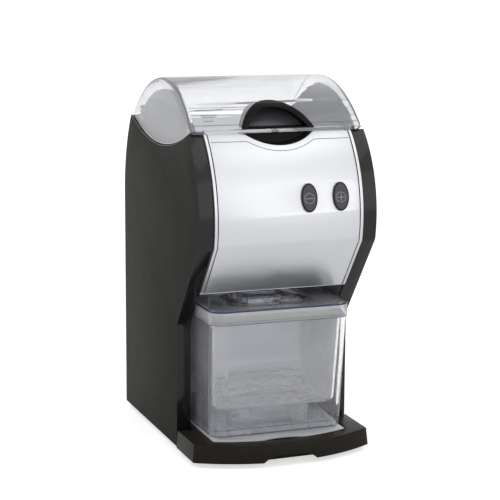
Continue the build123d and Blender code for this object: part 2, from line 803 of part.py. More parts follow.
def make_bezel(x):
    """The oval ring round a button, with a lip behind the cover and two legs for the switch."""
    outer = oval(button_width + 2 * bezel_width, button_height + 2 * bezel_width)
    inner = oval(button_width + 2 * button_gap, button_height + 2 * button_gap)
    lip_width = 2 * (bezel_width + bezel_lip)
    lip = oval(button_width + lip_width, button_height + lip_width)
    tube = Pos(0, 0, -sheet - button_skirt) * extrude(outer - inner, sheet + button_skirt + bezel_stand_out)
    collar = Pos(0, 0, -sheet - 2 * bezel_lip_depth) * extrude(lip - inner, 2 * bezel_lip_depth)
    cover_front = slab(cover_profile(cover_stand_out + 9, cover_stand_out - sheet), -band_x, band_x)
    ring = place_on_cover(collar, x) - cover_front
    leg_low = switch_top() - switch_depth / 2
    legs = []
    for side in (-1, 1):
        leg_x = side * (switch_width / 2 + bezel_leg / 2)
        leg_height = -sheet - 1.5 * bezel_lip_depth - leg_low
        legs.append(Pos(leg_x, 0, leg_low + leg_height / 2) * Box(bezel_leg, 8, leg_height))
    return place_on_cover(tube, x) + ring + place_on_cover(legs[0], x) + place_on_cover(legs[1], x)


def switch_top():
    """Height of a switch block's front, below the cover's outer face."""
    return -sheet - button_skirt - button_travel - 1.0


def make_switch(x):
    """The sealed switch block behind a button, bored for the button's stem."""
    top = switch_top()
    block = Pos(0, 0, top - switch_depth / 2) * Box(switch_width, switch_height, switch_depth)
    bore = Pos(0, 0, top) * Cylinder(stem_radius + stem_clearance, 2 * (switch_depth - 2))
    return place_on_cover(block - bore, x)


# ---------------------------------------------------------------- crushing drum
def make_chamber():
    """The cast housing round the rotor, open to the hopper above and the chute below."""
    outer_radius = chamber_radius + chamber_wall
    block = box_between((-chamber_half_width, rotor_y - outer_radius, chamber_bottom_z),
                        (chamber_half_width, rotor_y + outer_radius, chamber_top_z))
    low_edges = block.edges().filter_by(Axis.X).sort_by(Axis.Z)[:2]
    block = fillet(low_edges, outer_radius * 0.4)
    inner_x = chamber_half_width - chamber_wall
    drum = rod_x(chamber_radius, -inner_x, inner_x, rotor_y, rotor_z)
    mouth = box_between((-inner_x, rotor_y - chamber_radius, rotor_z),
                        (inner_x, rotor_y + chamber_radius, chamber_top_z + 1))
    outlet = box_between((-inner_x, rotor_y - outlet_half_depth, chamber_bottom_z - 1),
                         (inner_x, rotor_y + outlet_half_depth, rotor_z))
    spigots = rod_x(spigot_radius(), -chamber_half_width - 1, chamber_half_width + 1, rotor_y, rotor_z)
    return block - drum - mouth - outlet - spigots


def spigot_radius():
    return seal_outer_radius + 3.0


def make_bearing_housing():
    """The right-hand bearing housing: bolted to the chassis plate, its spigot holds the chamber."""
    inner_x = chamber_half_width - chamber_wall
    flange = rod_x(housing_flange_radius, band_x - housing_flange, band_x, rotor_y, rotor_z)
    barrel = rod_x(bearing_outer_radius + housing_wall, band_x - bearing_setback - bearing_width - 6, band_x,
                   rotor_y, rotor_z)
    neck = rod_x(spigot_radius(), inner_x, band_x, rotor_y, rotor_z)
    seat = rod_x(bearing_outer_radius, band_x - bearing_setback - bearing_width, band_x + 1, rotor_y, rotor_z)
    seal_seat = rod_x(seal_outer_radius, inner_x - 1, inner_x + seal_width, rotor_y, rotor_z)
    passage = rod_x(journal_radius + 2, inner_x - 1, band_x + 1, rotor_y, rotor_z)
    housing = flange + barrel + neck - seat - seal_seat - passage
    for y, z in housing_screw_places():
        housing -= rod_x(screw_radius, band_x - housing_flange - 1, band_x + 1, y, z)
    return housing


def housing_screw_places():
    radius = housing_flange_radius - 5
    return [(rotor_y + radius * cos(radians(a)), rotor_z + radius * sin(radians(a)))
            for a in (45, 135, 225, 315)]


def make_housing_screws():
    screws = []
    for y, z in housing_screw_places():
        right = hex_screw((band_x - housing_flange, y, z), (1, 0, 0), housing_flange + frame_sheet)
        screws += [right, mirrored(right)]
    return screws


def rotor_bearing_outer():
    low = band_x - bearing_setback - bearing_width
    ring = tube_x(bearing_outer_radius, bearing_outer_radius - race_thickness, low, low + bearing_width,
                  rotor_y, rotor_z)
    shield = bearing_shields(low, bearing_width, bearing_outer_radius, journal_radius, rotor_y, rotor_z)
    return ring + shield


def bearing_shields(low, width, outer, bore, y, z):
    """The two seals of a ball bearing, running clear of its inner ring."""
    lip = bore + race_thickness + running_clearance
    return (tube_x(outer - 0.5, lip, low, low + 1, y, z)
            + tube_x(outer - 0.5, lip, low + width - 1, low + width, y, z))


def rotor_bearing_inner():
    low = band_x - bearing_setback - bearing_width
    return tube_x(journal_radius + race_thickness, journal_radius, low, low + bearing_width, rotor_y, rotor_z)


def make_shaft_seals():
    inner_x = chamber_half_width - chamber_wall
    seal = tube_x(seal_outer_radius, journal_radius + running_clearance, inner_x, inner_x + seal_width,
                  rotor_y, rotor_z)
    return [seal, mirrored(seal)]


def make_rotor_shaft():
    inner_x = chamber_half_width - chamber_wall
    shaft = rod_x(shaft_radius, -inner_x + 1, inner_x - 1, rotor_y, rotor_z)
    journal = rod_x(journal_radius, -band_x + 1, pulley_x + pulley_width + 1, rotor_y, rotor_z)
    return shaft + journal


def make_blade(index):
    """One toothed disc of the crushing rotor."""
    tooth = make_face(Polyline(
        (blade_root_radius * 0.6, -tooth_root_width / 2), (blade_radius * 0.93, -tooth_tip_width * 0.2),
        (blade_radius * 0.97, tooth_tip_width * 0.8), (blade_root_radius * 0.6, tooth_root_width / 2),
        close=True))
    outline = Circle(blade_root_radius)
    for k in range(blade_teeth):
        outline += Rot(0, 0, k * 360 / blade_teeth) * tooth
    outline -= Circle(shaft_radius)
    x = (index - (blade_count - 1) / 2) * blade_pitch - blade_thickness / 2
    turned = Pos(rotor_y, rotor_z) * (Rot(0, 0, 20 + index * blade_step_angle) * outline)
    return slab(turned, x, x + blade_thickness)


def make_spacers():
    spacers = []
    for index in range(blade_count - 1):
        x = (index - (blade_count - 1) / 2) * blade_pitch + blade_thickness / 2
        spacers.append(tube_x(spacer_radius, shaft_radius, x, x + spacer_length, rotor_y, rotor_z))
    return spacers


def make_comb():
    """The fixed comb on the chamber's front wall; its teeth stand between the blades."""
    inner_x = chamber_half_width - chamber_wall
    wall_y = rotor_y - chamber_radius
    bar_height = comb_tooth_height * 1.6
    bar = box_between((-inner_x, wall_y, rotor_z), (inner_x, wall_y + comb_bar_depth, rotor_z + bar_height))
    root_y = wall_y + comb_bar_depth / 2
    tip_y = rotor_y - spacer_radius - comb_tip_gap
    side = make_face(Polyline((root_y, rotor_z), (root_y, rotor_z + bar_height),
                              (tip_y, rotor_z + comb_tooth_height * 0.7), (tip_y, rotor_z + 1), close=True))
    comb = bar
    for index in range(blade_count + 1):
        x = (index - blade_count / 2) * blade_pitch - comb_tooth_thickness / 2
        comb += slab(side, x, x + comb_tooth_thickness)
    return comb


# ---------------------------------------------------------------- belt drive
def make_pulley(radius, bore, y, z):
    """A belt pulley with two low flanges."""
    rim = rod_x(radius, pulley_x, pulley_x + pulley_width, y, z)
    groove_low = pulley_x + (pulley_width - belt_width) / 2 - 0.2
    groove = tube_x(radius + 5, radius - belt_thickness - belt_gap, groove_low,
                    groove_low + belt_width + 0.4, y, z)
    wheel = rim - groove - rod_x(bore, pulley_x - 1, pulley_x + pulley_width + 1, y, z)
    if radius > 2 * bore + 20:
        for k in range(5):
            angle = radians(72 * k + 36)
            hole_at = (y + radius * 0.55 * cos(angle), z + radius * 0.55 * sin(angle))
            wheel -= rod_x(radius * 0.2, pulley_x - 1, pulley_x + pulley_width + 1, *hole_at)
    return wheel


def belt_loop(driven, driver):
    """The area inside a belt that runs round both pulleys at the given radii."""
    gap_y, gap_z = motor_y - rotor_y, motor_z - rotor_z
    distance = sqrt(gap_y ** 2 + gap_z ** 2)
    spread = asin((driven - driver) / distance)
    heading = atan2(gap_z, gap_y)
    corners = []
    for side in (1, -1):
        angle = heading + side * (radians(90) - spread)
        corners.append((rotor_y + driven * cos(angle), rotor_z + driven * sin(angle)))
        corners.append((motor_y + driver * cos(angle), motor_z + driver * sin(angle)))
    body = make_face(Polyline(corners[0], corners[1], corners[3], corners[2], close=True))
    return body + Pos(rotor_y, rotor_z) * Circle(driven) + Pos(motor_y, motor_z) * Circle(driver)


def make_belt():
    low = pulley_x + (pulley_width - belt_width) / 2
    outer = belt_loop(driven_radius, motor_pulley_radius)
    inner = belt_loop(driven_radius - belt_thickness, motor_pulley_radius - belt_thickness)
    return slab(outer - inner, low, low + belt_width)


# ---------------------------------------------------------------- motor
def motor_bolt_places():
    return [(motor_y + motor_bolt_circle * cos(radians(a)), motor_z + motor_bolt_circle * sin(radians(a)))
            for a in (45, 135, 225, 315)]


def make_motor_housing():
    body = rod_x(motor_radius, motor_left_x, motor_right_x, motor_y, motor_z)
    middle = Pos((motor_left_x + motor_right_x) / 2, motor_y, motor_z)
    fin = Pos(0, motor_radius + fin_height / 2 - 1, 0) * Box(
        motor_right_x - motor_left_x - 8, fin_height + 2, fin_thickness)
    for k in range(fin_count):
        body += middle * Rot(360 * k / fin_count, 0, 0) * fin
    return body - rod_x(motor_radius - motor_wall, motor_left_x - 1, motor_right_x + 1, motor_y, motor_z)


def make_bell(x_from, x_to, open_side):
    """A motor end bell: a cup whose rim meets the housing and whose hub holds a bearing."""
    cup = rod_x(motor_radius, x_from, x_to, motor_y, motor_z)
    low, high = (x_from + 3, x_to + 1) if open_side > 0 else (x_from - 1, x_to - 3)
    cup -= tube_x(motor_radius - motor_wall, motor_bearing_radius + 4, low, high, motor_y, motor_z)
    seat_low = (x_to - motor_bearing_width) if open_side > 0 else x_from
    cup -= rod_x(motor_bearing_radius, seat_low, seat_low + motor_bearing_width, motor_y, motor_z)
    cup -= rod_x(motor_shaft_radius + 2, x_from - 1, x_to + 1, motor_y, motor_z)
    for y, z in motor_bolt_places():
        cup -= rod_x(screw_radius, x_from - 1, x_to + 1, y, z)
    return cup


def make_motor_bells():
    left = make_bell(motor_left_x - bell_length, motor_left_x, 1)
    right = make_bell(motor_right_x, band_x, -1)
    return [left, right]


def motor_bearing_lows():
    return [motor_left_x - motor_bearing_width, motor_right_x]


def make_stator():
    outer = motor_radius - motor_wall
    return tube_x(outer, stator_bore_radius, stator_left_x, stator_right_x, motor_y, motor_z)


def make_windings():
    rings = []
    for low in (stator_left_x - winding_length, stator_right_x):
        ring = tube_x(winding_outer_radius, winding_inner_radius, low, low + winding_length, motor_y, motor_z)
        rings.append(fillet(ring.edges().filter_by(GeomType.CIRCLE), 2.5))
    return rings


def make_motor_core():
    outer = stator_bore_radius - air_gap
    return tube_x(outer, motor_shaft_radius, stator_left_x, stator_right_x, motor_y, motor_z)


def make_motor_shaft():
    return rod_x(motor_shaft_radius, fan_low() - 2, pulley_x + pulley_width + 1, motor_y, motor_z)


def fan_low():
    return motor_left_x - bell_length - 3 - fan_width


def make_fan():
    hub = tube_x(14, motor_shaft_radius, fan_low(), fan_low() + fan_width, motor_y, motor_z)
    plate = tube_x(fan_radius, 12, fan_low() + fan_width - 2, fan_low() + fan_width, motor_y, motor_z)
    fan = hub + plate
    middle = Pos(fan_low() + fan_width / 2, motor_y, motor_z)
    blade = Pos(0, (fan_radius + 12) / 2, 0) * Box(fan_width, fan_radius - 12, 1.6)
    for k in range(fan_blades):
        fan += middle * Rot(360 * k / fan_blades, 0, 0) * blade
    return fan


def make_fan_cowl():
    """The pressed cap over the motor's fan, with a ring of air slots."""
    low = fan_low() - 4
    high = motor_left_x - bell_length + 6
    radius = motor_radius + fan_cowl_wall
    cowl = rod_x(radius, low, high, motor_y, motor_z)
    cowl -= rod_x(motor_radius, low + fan_cowl_wall, high + 1, motor_y, motor_z)
    for k in range(10):
        slot = Pos(low, motor_y, motor_z) * Rot(36 * k, 0, 0) * Pos(0, 30, 0) * Box(6, 18, 4)
        cowl -= slot
    return cowl


def make_motor_cradle():
    """The saddle that carries the motor's free end on the base plate."""
    x_from = motor_left_x + cradle_setback
    width = motor_radius * 1.2
    x_to = x_from + cradle_width
    block = box_between((x_from, motor_y - width / 2, base_top_z), (x_to, motor_y + width / 2, motor_z - 30))
    clear = rod_x(motor_radius + fin_height + fit_gap, x_from - 1, x_to + 1, motor_y, motor_z)
    feet = box_between((x_from, motor_y - width / 2 - 10, base_top_z),
                       (x_to, motor_y + width / 2 + 10, base_top_z + 3))
    cradle = (block + feet) - clear
    for side in (-1, 1):
        at = Pos(x_from + cradle_width / 2, motor_y + side * (width / 2 + 5), base_top_z)
        cradle -= at * Cylinder(screw_radius, 20)
    return cradle


def make_motor_bolts():
    bolts = [hex_screw((frame_outer_x, y, z), (-1, 0, 0), frame_sheet + 10) for y, z in motor_bolt_places()]
    width = motor_radius * 1.2
    x = motor_left_x + cradle_setback + cradle_width / 2
    for side in (-1, 1):
        at = (x, motor_y + side * (width / 2 + 5), base_top_z + 3)
        bolts.append(hex_screw(at, (0, 0, -1), 3))
    return bolts


# ---------------------------------------------------------------- chute
def chute_solid(shrink):
    reach = chamber_radius + chamber_wall - shrink
    top = Pos(0, rotor_y, chamber_bottom_z) * RectangleRounded(
        2 * (chamber_half_width - shrink), 2 * reach * 0.75, 6)
    neck = Pos(0, spout_y, chute_neck_z) * Circle(spout_radius - shrink)
    spout = extrude(Circle(spout_radius - shrink), chute_neck_z - spout_bottom_z)
    return loft([neck, top]) + Pos(0, spout_y, spout_bottom_z) * spout


def make_chute():
    """The plastic funnel from the drum's outlet to the round spout over the bin."""
    inner = chute_solid(chute_wall)
    over = box_between((-100, -200, chamber_bottom_z), (100, 200, chamber_bottom_z + 10))
    throat = Pos(0, spout_y, spout_bottom_z - 5) * Cylinder(spout_radius - chute_wall, 12)
    return chute_solid(0) - inner - over - throat


# ---------------------------------------------------------------- electrics
def make_power_inlet():
    """An appliance inlet in the rear cover: a flanged box with a shaped recess and three pins."""
    flange = box_between((inlet_x - inlet_width / 2, back_y - 1.0, inlet_z - inlet_height / 2),
                         (inlet_x + inlet_width / 2, back_y - 1.0 + inlet_flange, inlet_z + inlet_height / 2))
    half_x, half_z = inlet_width / 2 - 4.3, inlet_height / 2 - 3.3
    body = box_between((inlet_x - half_x, back_y - inlet_depth, inlet_z - half_z),
                       (inlet_x + half_x, back_y - 1.0, inlet_z + half_z))
    recess = box_between((inlet_x - 13, back_y - inlet_depth + 3, inlet_z - 8.5),
                         (inlet_x + 13, back_y + 1, inlet_z + 8.5))
    inlet = flange + body - recess
    for dx, dz in ((-7, -2), (7, -2), (0, 3)):
        inlet += box_between((inlet_x + dx - 1, back_y - inlet_depth + 2, inlet_z + dz - 2),
                             (inlet_x + dx + 1, back_y - 6, inlet_z + dz + 2))
    return inlet


def make_capacitor():
    """The motor's run capacitor, screwed to the left chassis plate by its stud."""
    can = rod_x(capacitor_radius, -band_x + 1, -band_x + capacitor_length, capacitor_y, capacitor_z)
    can = fillet(can.edges().filter_by(GeomType.CIRCLE), 2.0)
    nut = slab(Pos(capacitor_y, capacitor_z) * RegularPolygon(6.5, 6), -band_x, -band_x + 1.5)
    return can + nut


def make_control_box():
    """The closed box of the motor's contactor and terminals, on the left chassis plate."""
    width, depth, height = control_box_size
    low = (-band_x, control_box_y - depth / 2, control_box_z - height / 2)
    high = (-band_x + width, control_box_y + depth / 2, control_box_z + height / 2)
    box = box_between(low, high)
    box = fillet(box.edges().filter_by(Axis.X), 4)
    inner = box_between([v + box_wall for v in low], [v - box_wall for v in high])
    return box - inner


def make_lid_sensor():
    """The slim reed switch behind the finger recess, under the middle of the lid's front strip."""
    low, high = magnet_box(0)
    x = (low[0] + high[0]) / 2
    front = scoop_back_y + scoop_wall
    width, depth, height = lid_sensor_size
    top = mouth_z - hopper_wall - 4
    return box_between((x - width / 2, front, top - height), (x + width / 2, front + depth, top))


# ---------------------------------------------------------------- ice bin
def bin_section(z, half_x, front, back, corner):
    return Pos(0, (front + back) / 2, z) * RectangleRounded(2 * half_x, back - front, corner)


def bin_solid(shrink, floor_z, top_z):
    """The bin's tapering body and straight rim band, shrunk all round by its wall."""
    step = bin_band_step
    low = bin_section(floor_z, bin_foot_half_width - shrink, bin_foot_front_y + shrink,
                      bin_foot_back_y - shrink, bin_corner - shrink)
    knee = bin_section(bin_band_z, bin_half_width - step - shrink, bin_front_y + step + shrink,
                       bin_back_y - step - shrink, bin_corner - shrink)
    band = bin_section(bin_band_z, bin_half_width - shrink, bin_front_y + shrink, bin_back_y - shrink,
                       bin_corner - shrink)
    return loft([low, knee], ruled=True) + extrude(band, top_z - bin_band_z)


def make_bin():
    """The clear outer bin that catches the melt water and carries the basket."""
    outer = bin_solid(0, bin_bottom_z, bin_rim_z)
    low_edges = outer.faces().sort_by(Axis.Z)[0].edges()
    outer = fillet(low_edges, 5.0)
    return outer - bin_solid(bin_wall, bin_bottom_z + bin_wall, bin_rim_z + 1)


def basket_solid(shrink, floor_z, top_z):
    inset = bin_wall + basket_gap + shrink
    share = (basket_rim_z - bin_bottom_z) / (bin_band_z - bin_bottom_z)
    low_share = (basket_floor_z - bin_bottom_z) / (bin_band_z - bin_bottom_z)

    def between(foot, rim, at):
        return foot + (rim - foot) * at

    low = bin_section(floor_z, between(bin_foot_half_width, bin_half_width, low_share) - inset - 2,
                      between(bin_foot_front_y, bin_front_y, low_share) + inset + 2,
                      between(bin_foot_back_y, bin_back_y, low_share) - inset - 2, bin_corner - shrink)
    high = bin_section(top_z, between(bin_foot_half_width, bin_half_width, share) - inset - 1.5,
                       between(bin_foot_front_y, bin_front_y, share) + inset + 1.5,
                       between(bin_foot_back_y, bin_back_y, share) - inset - 1.5, bin_corner - shrink)
    return loft([low, high], ruled=True)


def make_basket():
    """The clear strainer that keeps the ice off the melt water, standing on its own skirt."""
    basket = basket_solid(0, basket_floor_z, basket_rim_z)
    basket = fillet(basket.faces().sort_by(Axis.Z)[0].edges(), 8.0)
    inner = basket_solid(basket_wall, basket_floor_z + basket_wall, basket_rim_z + 0.01)
    inner = fillet(inner.faces().sort_by(Axis.Z)[0].edges(), 6.0)
    basket -= inner
    middle_y = (bin_foot_front_y + bin_foot_back_y) / 2
    half_x = bin_foot_half_width - basket_skirt_inset
    half_y = (bin_foot_back_y - bin_foot_front_y) / 2 - basket_skirt_inset * 0.7
    skirt_low = bin_bottom_z + bin_wall
    skirt_ring = (RectangleRounded(2 * half_x, 2 * half_y, 12)
                  - RectangleRounded(2 * (half_x - basket_wall), 2 * (half_y - basket_wall), 10))
    foot = Pos(0, middle_y, skirt_low)
    basket += foot * extrude(skirt_ring, basket_floor_z + basket_wall / 2 - skirt_low)
    basket -= foot * Box(half_x, 4 * half_y, 16)
    basket -= foot * Box(4 * half_x, half_y, 16)
    for column in range(-3, 4):
        for row in range(-2, 3):
            at = Pos(column * 19, middle_y + row * 21, basket_floor_z)
            slot = SlotOverall(drain_slot_length, drain_slot_width)
            basket -= at * extrude(slot, 3 * basket_wall, both=True)
    return basket


def make_bin_cover():
    """The clear cover with its sunk middle and the raised collar round the ice hole."""
    rim = bin_rim_z
    outline = bin_section(rim, bin_half_width, bin_front_y, bin_back_y, bin_corner)
    plate = extrude(outline, bin_cover_thickness)
    locator_outer = bin_section(rim - 4, bin_half_width - bin_wall - 0.4, bin_front_y + bin_wall + 0.4,
                                bin_back_y - bin_wall - 0.4, bin_corner - bin_wall)
    locator_inner = bin_section(rim - 4, bin_half_width - bin_wall - 2.4, bin_front_y + bin_wall + 2.4,
                                bin_back_y - bin_wall - 2.4, bin_corner - bin_wall - 1)
    locator = extrude(locator_outer - locator_inner, 4)
    well = bin_section(rim - well_depth, well_half_width, well_front_y, well_back_y, well_corner)
    well_in = bin_section(rim - well_depth + bin_cover_thickness, well_half_width - bin_cover_thickness,
                          well_front_y + bin_cover_thickness, well_back_y - bin_cover_thickness,
                          well_corner - bin_cover_thickness)
    tub = extrude(well, well_depth + bin_cover_thickness)
    cover = plate + locator + tub - extrude(well_in, 2 * well_depth)
    base = rim - well_depth
    collar = box_between((-collar_half_width, collar_front_y, base),
                         (collar_half_width, collar_back_y, collar_top_z))
    collar = fillet(collar.edges().filter_by(Axis.Z), 3)
    wall = bin_cover_thickness
    hollow = box_between((-collar_half_width + wall, collar_front_y + wall, base - 1),
                         (collar_half_width - wall, collar_back_y - wall, collar_top_z - wall))
    bore = Pos(0, spout_y, rim) * Cylinder(cover_hole_radius, 40)
    sleeve = Pos(0, spout_y, base) * extrude(Circle(cover_hole_radius + wall), collar_top_z - base)
    step = box_between((collar_half_width - 14, collar_front_y - 9, base),
                       (collar_half_width + 10, collar_front_y + 30, collar_top_z - 2))
    step_in = box_between((collar_half_width - 12, collar_front_y - 7, base - 1),
                          (collar_half_width + 8, collar_front_y + 28, collar_top_z - 4))
    return (cover + step - step_in + collar - hollow + sleeve) - bore


# ---------------------------------------------------------------- drip tray
def tray_outline(widen):
    """The tray's outline from above: a bowed front, square shoulders and a tongue under the bin."""
    half = half_width + widen
    front = tray_front_y - widen
    corner = tray_corner_y - widen
    back = tray_shoulder_y
    tongue = tray_tongue_half_width
    tongue_back = tray_back_y
    outline = (
        ThreePointArc((-half, corner), (0, front), (half, corner))
        + Line((half, corner), (half, back)) + Line((half, back), (tongue, back))
        + Line((tongue, back), (tongue, tongue_back)) + Line((tongue, tongue_back), (-tongue, tongue_back))
        + Line((-tongue, tongue_back), (-tongue, back)) + Line((-tongue, back), (-half, back))
        + Line((-half, back), (-half, corner))
    )
    return make_face(outline)


def grid_outline(inset=0.0, notch=True):
    """The grid's outline from above, with the finger notch in its bowed front edge."""
    half = half_width - tray_side_rim - inset
    front = tray_front_y + tray_front_rim + inset
    corner = tray_corner_y + 6 + inset
    back = tray_back_y - grid_end_wall - inset
    outline = (
        ThreePointArc((-half, corner), (0, front), (half, corner))
        + Polyline((half, corner), (half, back), (-half, back), (-half, corner))
    )
    face = make_face(outline)
    if notch:
        face -= Pos(0, front) * Ellipse(lift_notch_half_width, lift_notch_depth)
    return face


def make_tray():
    """The black drip tray: a bowed front, a shoulder each side and a tongue under the bin."""
    foot_outline = Pos(0, 0, foot_height) * tray_outline(tray_draft)
    top_outline = Pos(0, 0, tray_top_z) * tray_outline(0)
    front_block = loft([foot_outline, top_outline], ruled=True)
    tongue_clear = box_between((-half_width - 1, tray_shoulder_y, 0),
                               (half_width + 1, back_y, base_top_z + tray_lift))
    tray = front_block - tongue_clear
    cavity = Pos(0, 0, foot_height + tray_floor) * extrude(grid_outline(2.5, notch=False), tray_top_z)
    raised = box_between((-half_width, tray_shoulder_y - 6, 0),
                         (half_width, back_y, base_top_z + tray_lift + tray_floor))
    seat = Pos(0, 0, tray_top_z - grid_thickness) * extrude(grid_outline(0, notch=False), 10)
    tray -= (cavity - raised) + seat
    foot, top = notch_half_width, notch_top_half_width
    mid, mid_z = (foot + top) / 2, notch_height * 0.6
    rise = ThreePointArc((-foot, 0), (-mid, mid_z), (-top, notch_height))
    fall = ThreePointArc((top, notch_height), (mid, mid_z), (foot, 0))
    crown = Line((-top, notch_height), (top, notch_height))
    arch = make_face(rise + crown + fall + Line((foot, 0), (-foot, 0)))
    cut = Pos(0, tray_front_y + 14, foot_height - 0.01) * extrude(Plane.XZ * arch, 30)
    return tray - cut


def make_grid():
    """The grid the bin stands on: a thin plate with a lip, drain holes and a finger notch."""
    plate = Pos(0, 0, tray_top_z - grid_thickness) * extrude(grid_outline(grid_gap), grid_thickness)
    half = half_width - tray_side_rim - 12
    columns = int(half // grid_hole_pitch)
    for column in range(-columns, columns + 1):
        for row in range(9):
            y = tray_corner_y + 20 + row * grid_hole_pitch
            at = Pos(column * grid_hole_pitch, y, tray_top_z)
            plate -= at * Cylinder(grid_hole_radius, 6 * grid_thickness)
    return plate


# ---------------------------------------------------------------- screws on show
def make_hopper_screws():
    """Two screws a side that hold the domed ends to the chassis at their rear corners."""
    screws = []
    for y, z in hopper_screw_places():
        right = hex_screw((dome_x, y, z), (-1, 0, 0), hopper_wall)
        screws += [right, mirrored(right)]
    return screws


def hopper_screw_places():
    """Side-view places of the end screws, near the two corners of the dome."""
    return [scallop_point(dome_back_y - end_screw_inset, end_screw_lift),
            scallop_point(dome_front_y + end_screw_inset, end_screw_lift)]


def make_hinge_screws():
    return [hex_screw(place, (0, -1, 0), 6) for place in hinge_screw_places()]


# ---------------------------------------------------------------- all the pieces
def build_bodies():
    """Every piece under the name of its node; a list is a group of separate solids."""
    right_panel = make_side_panel()
    right_end = make_hopper_end()
    right_housing = make_bearing_housing()
    outer_ring = rotor_bearing_outer()
    inner_ring = rotor_bearing_inner()
    bracket_x = lug_x + hinge_side_gap
    motor_outers, motor_inners = [], []
    for low in motor_bearing_lows():
        ring = tube_x(motor_bearing_radius, motor_bearing_radius - race_thickness, low,
                      low + motor_bearing_width, motor_y, motor_z)
        shields = bearing_shields(low, motor_bearing_width, motor_bearing_radius, motor_shaft_radius,
                                  motor_y, motor_z)
        motor_outers.append(ring + shields)
        motor_inners.append(tube_x(motor_shaft_radius + race_thickness, motor_shaft_radius, low,
                                   low + motor_bearing_width, motor_y, motor_z))
    return {
        "side_panel_right": right_panel,
        "side_panel_left": mirrored(right_panel),
        "frame_plate_right": make_frame_plate(True),
        "frame_plate_left": mirrored(make_frame_plate(False)),
        "panel_screws": make_panel_screws(),
        "base_plate": make_base_plate(),
        "rubber_feet": make_feet(),
        "foot_screws": make_foot_screws(),
        "niche_liner": make_niche_liner(),
        "front_cover": make_front_cover(),
        "finger_recess": make_finger_recess(),
        "rear_cover": make_rear_cover(),
        "hopper_funnel": make_hopper(),
        "hopper_end_right": right_end,
        "hopper_end_left": mirrored(right_end),
        "hopper_screws": make_hopper_screws(),
        "crushing_chamber": make_chamber(),
        "fixed_comb": make_comb(),
        "bearing_housings": [right_housing, mirrored(right_housing)],
        "housing_screws": make_housing_screws(),
        "bearing_outer_rings": [outer_ring, mirrored(outer_ring), *motor_outers],
        "shaft_seals": make_shaft_seals(),
        "ice_chute": make_chute(),
        "motor_housing": make_motor_housing(),
        "motor_end_bells": make_motor_bells(),
        "stator_core": make_stator(),
        "stator_windings": make_windings(),
        "motor_cradle": make_motor_cradle(),
        "motor_bolts": make_motor_bolts(),
        "fan_cowl": make_fan_cowl(),
        "drive_belt": make_belt(),
        "run_capacitor": make_capacitor(),
        "control_box": make_control_box(),
        "power_inlet": make_power_inlet(),
        "lid_sensor": make_lid_sensor(),
        "button_bezels": [make_bezel(stop_x), make_bezel(start_x)],
        "button_switches": [make_switch(stop_x), make_switch(start_x)],
        "hinge_brackets": [make_hinge_bracket(bracket_x), make_hinge_bracket(-bracket_x - bracket_width)],
        "hinge_screws": make_hinge_screws(),
        "hinge_pin": make_hinge_pin(),
        "lid_shell": make_lid_shell(),
        "lid_grip": make_lid_grip(),
        "lid_magnet": box_between(*magnet_box(0)),
        "stop_button": make_button(stop_x),
        "start_button": make_button(start_x),
        "ice_bin": make_bin(),
        "bin_basket": make_basket(),
        "bin_cover": make_bin_cover(),
        "drip_tray": make_tray(),
        "drip_grid": make_grid(),
        "rotor_shaft": make_rotor_shaft(),
        "rotor_blades": [make_blade(index) for index in range(blade_count)],
        "rotor_spacers": make_spacers(),
        "rotor_bearing_inner_rings": [inner_ring, mirrored(inner_ring)],
        "driven_pulley": make_pulley(driven_radius, journal_radius, rotor_y, rotor_z),
        "motor_shaft": make_motor_shaft(),
        "motor_rotor_core": make_motor_core(),
        "motor_bearing_inner_rings": motor_inners,
        "cooling_fan": make_fan(),
        "motor_pulley": make_pulley(motor_pulley_radius, motor_shaft_radius, motor_y, motor_z),
    }


def write_parts():
    os.makedirs("parts", exist_ok=True)
    for name, piece in build_bodies().items():
        shape = Compound(children=piece) if isinstance(piece, list) else piece
        export_step(shape, f"parts/{name}.step")


if __name__ == "__main__":
    write_parts()
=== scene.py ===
import logging
import math
from dataclasses import dataclass, field
from enum import Enum

import bpy
from mathutils import Matrix, Vector

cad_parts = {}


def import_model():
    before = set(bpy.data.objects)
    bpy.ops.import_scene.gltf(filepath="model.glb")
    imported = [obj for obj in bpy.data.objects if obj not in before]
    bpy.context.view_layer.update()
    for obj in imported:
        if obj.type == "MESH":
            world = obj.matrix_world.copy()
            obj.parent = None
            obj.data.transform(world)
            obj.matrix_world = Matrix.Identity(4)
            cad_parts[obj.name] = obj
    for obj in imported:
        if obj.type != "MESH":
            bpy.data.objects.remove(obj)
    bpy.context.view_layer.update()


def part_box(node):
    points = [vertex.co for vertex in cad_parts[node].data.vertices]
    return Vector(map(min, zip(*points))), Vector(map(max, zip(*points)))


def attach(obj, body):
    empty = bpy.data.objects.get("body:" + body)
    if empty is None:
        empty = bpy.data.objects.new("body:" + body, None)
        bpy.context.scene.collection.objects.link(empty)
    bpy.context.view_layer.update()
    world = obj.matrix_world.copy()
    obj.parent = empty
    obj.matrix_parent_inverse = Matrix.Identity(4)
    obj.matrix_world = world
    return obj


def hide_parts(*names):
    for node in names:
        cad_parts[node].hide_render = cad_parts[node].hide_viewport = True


# Looks of a countertop electric ice crusher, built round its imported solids.
# Metres, +Z up, +X to the right seen from the front; the front faces -Y.

LOG = logging.getLogger("ice_crusher")
MM = 0.001


class Body(Enum):
    """The rigid bodies that the scene's own pieces ride on."""

    MACHINE = "machine"
    LID = "lid"
    STOP = "stop_button"
    START = "start_button"
    TRAY = "tray"
    BIN = "bin"


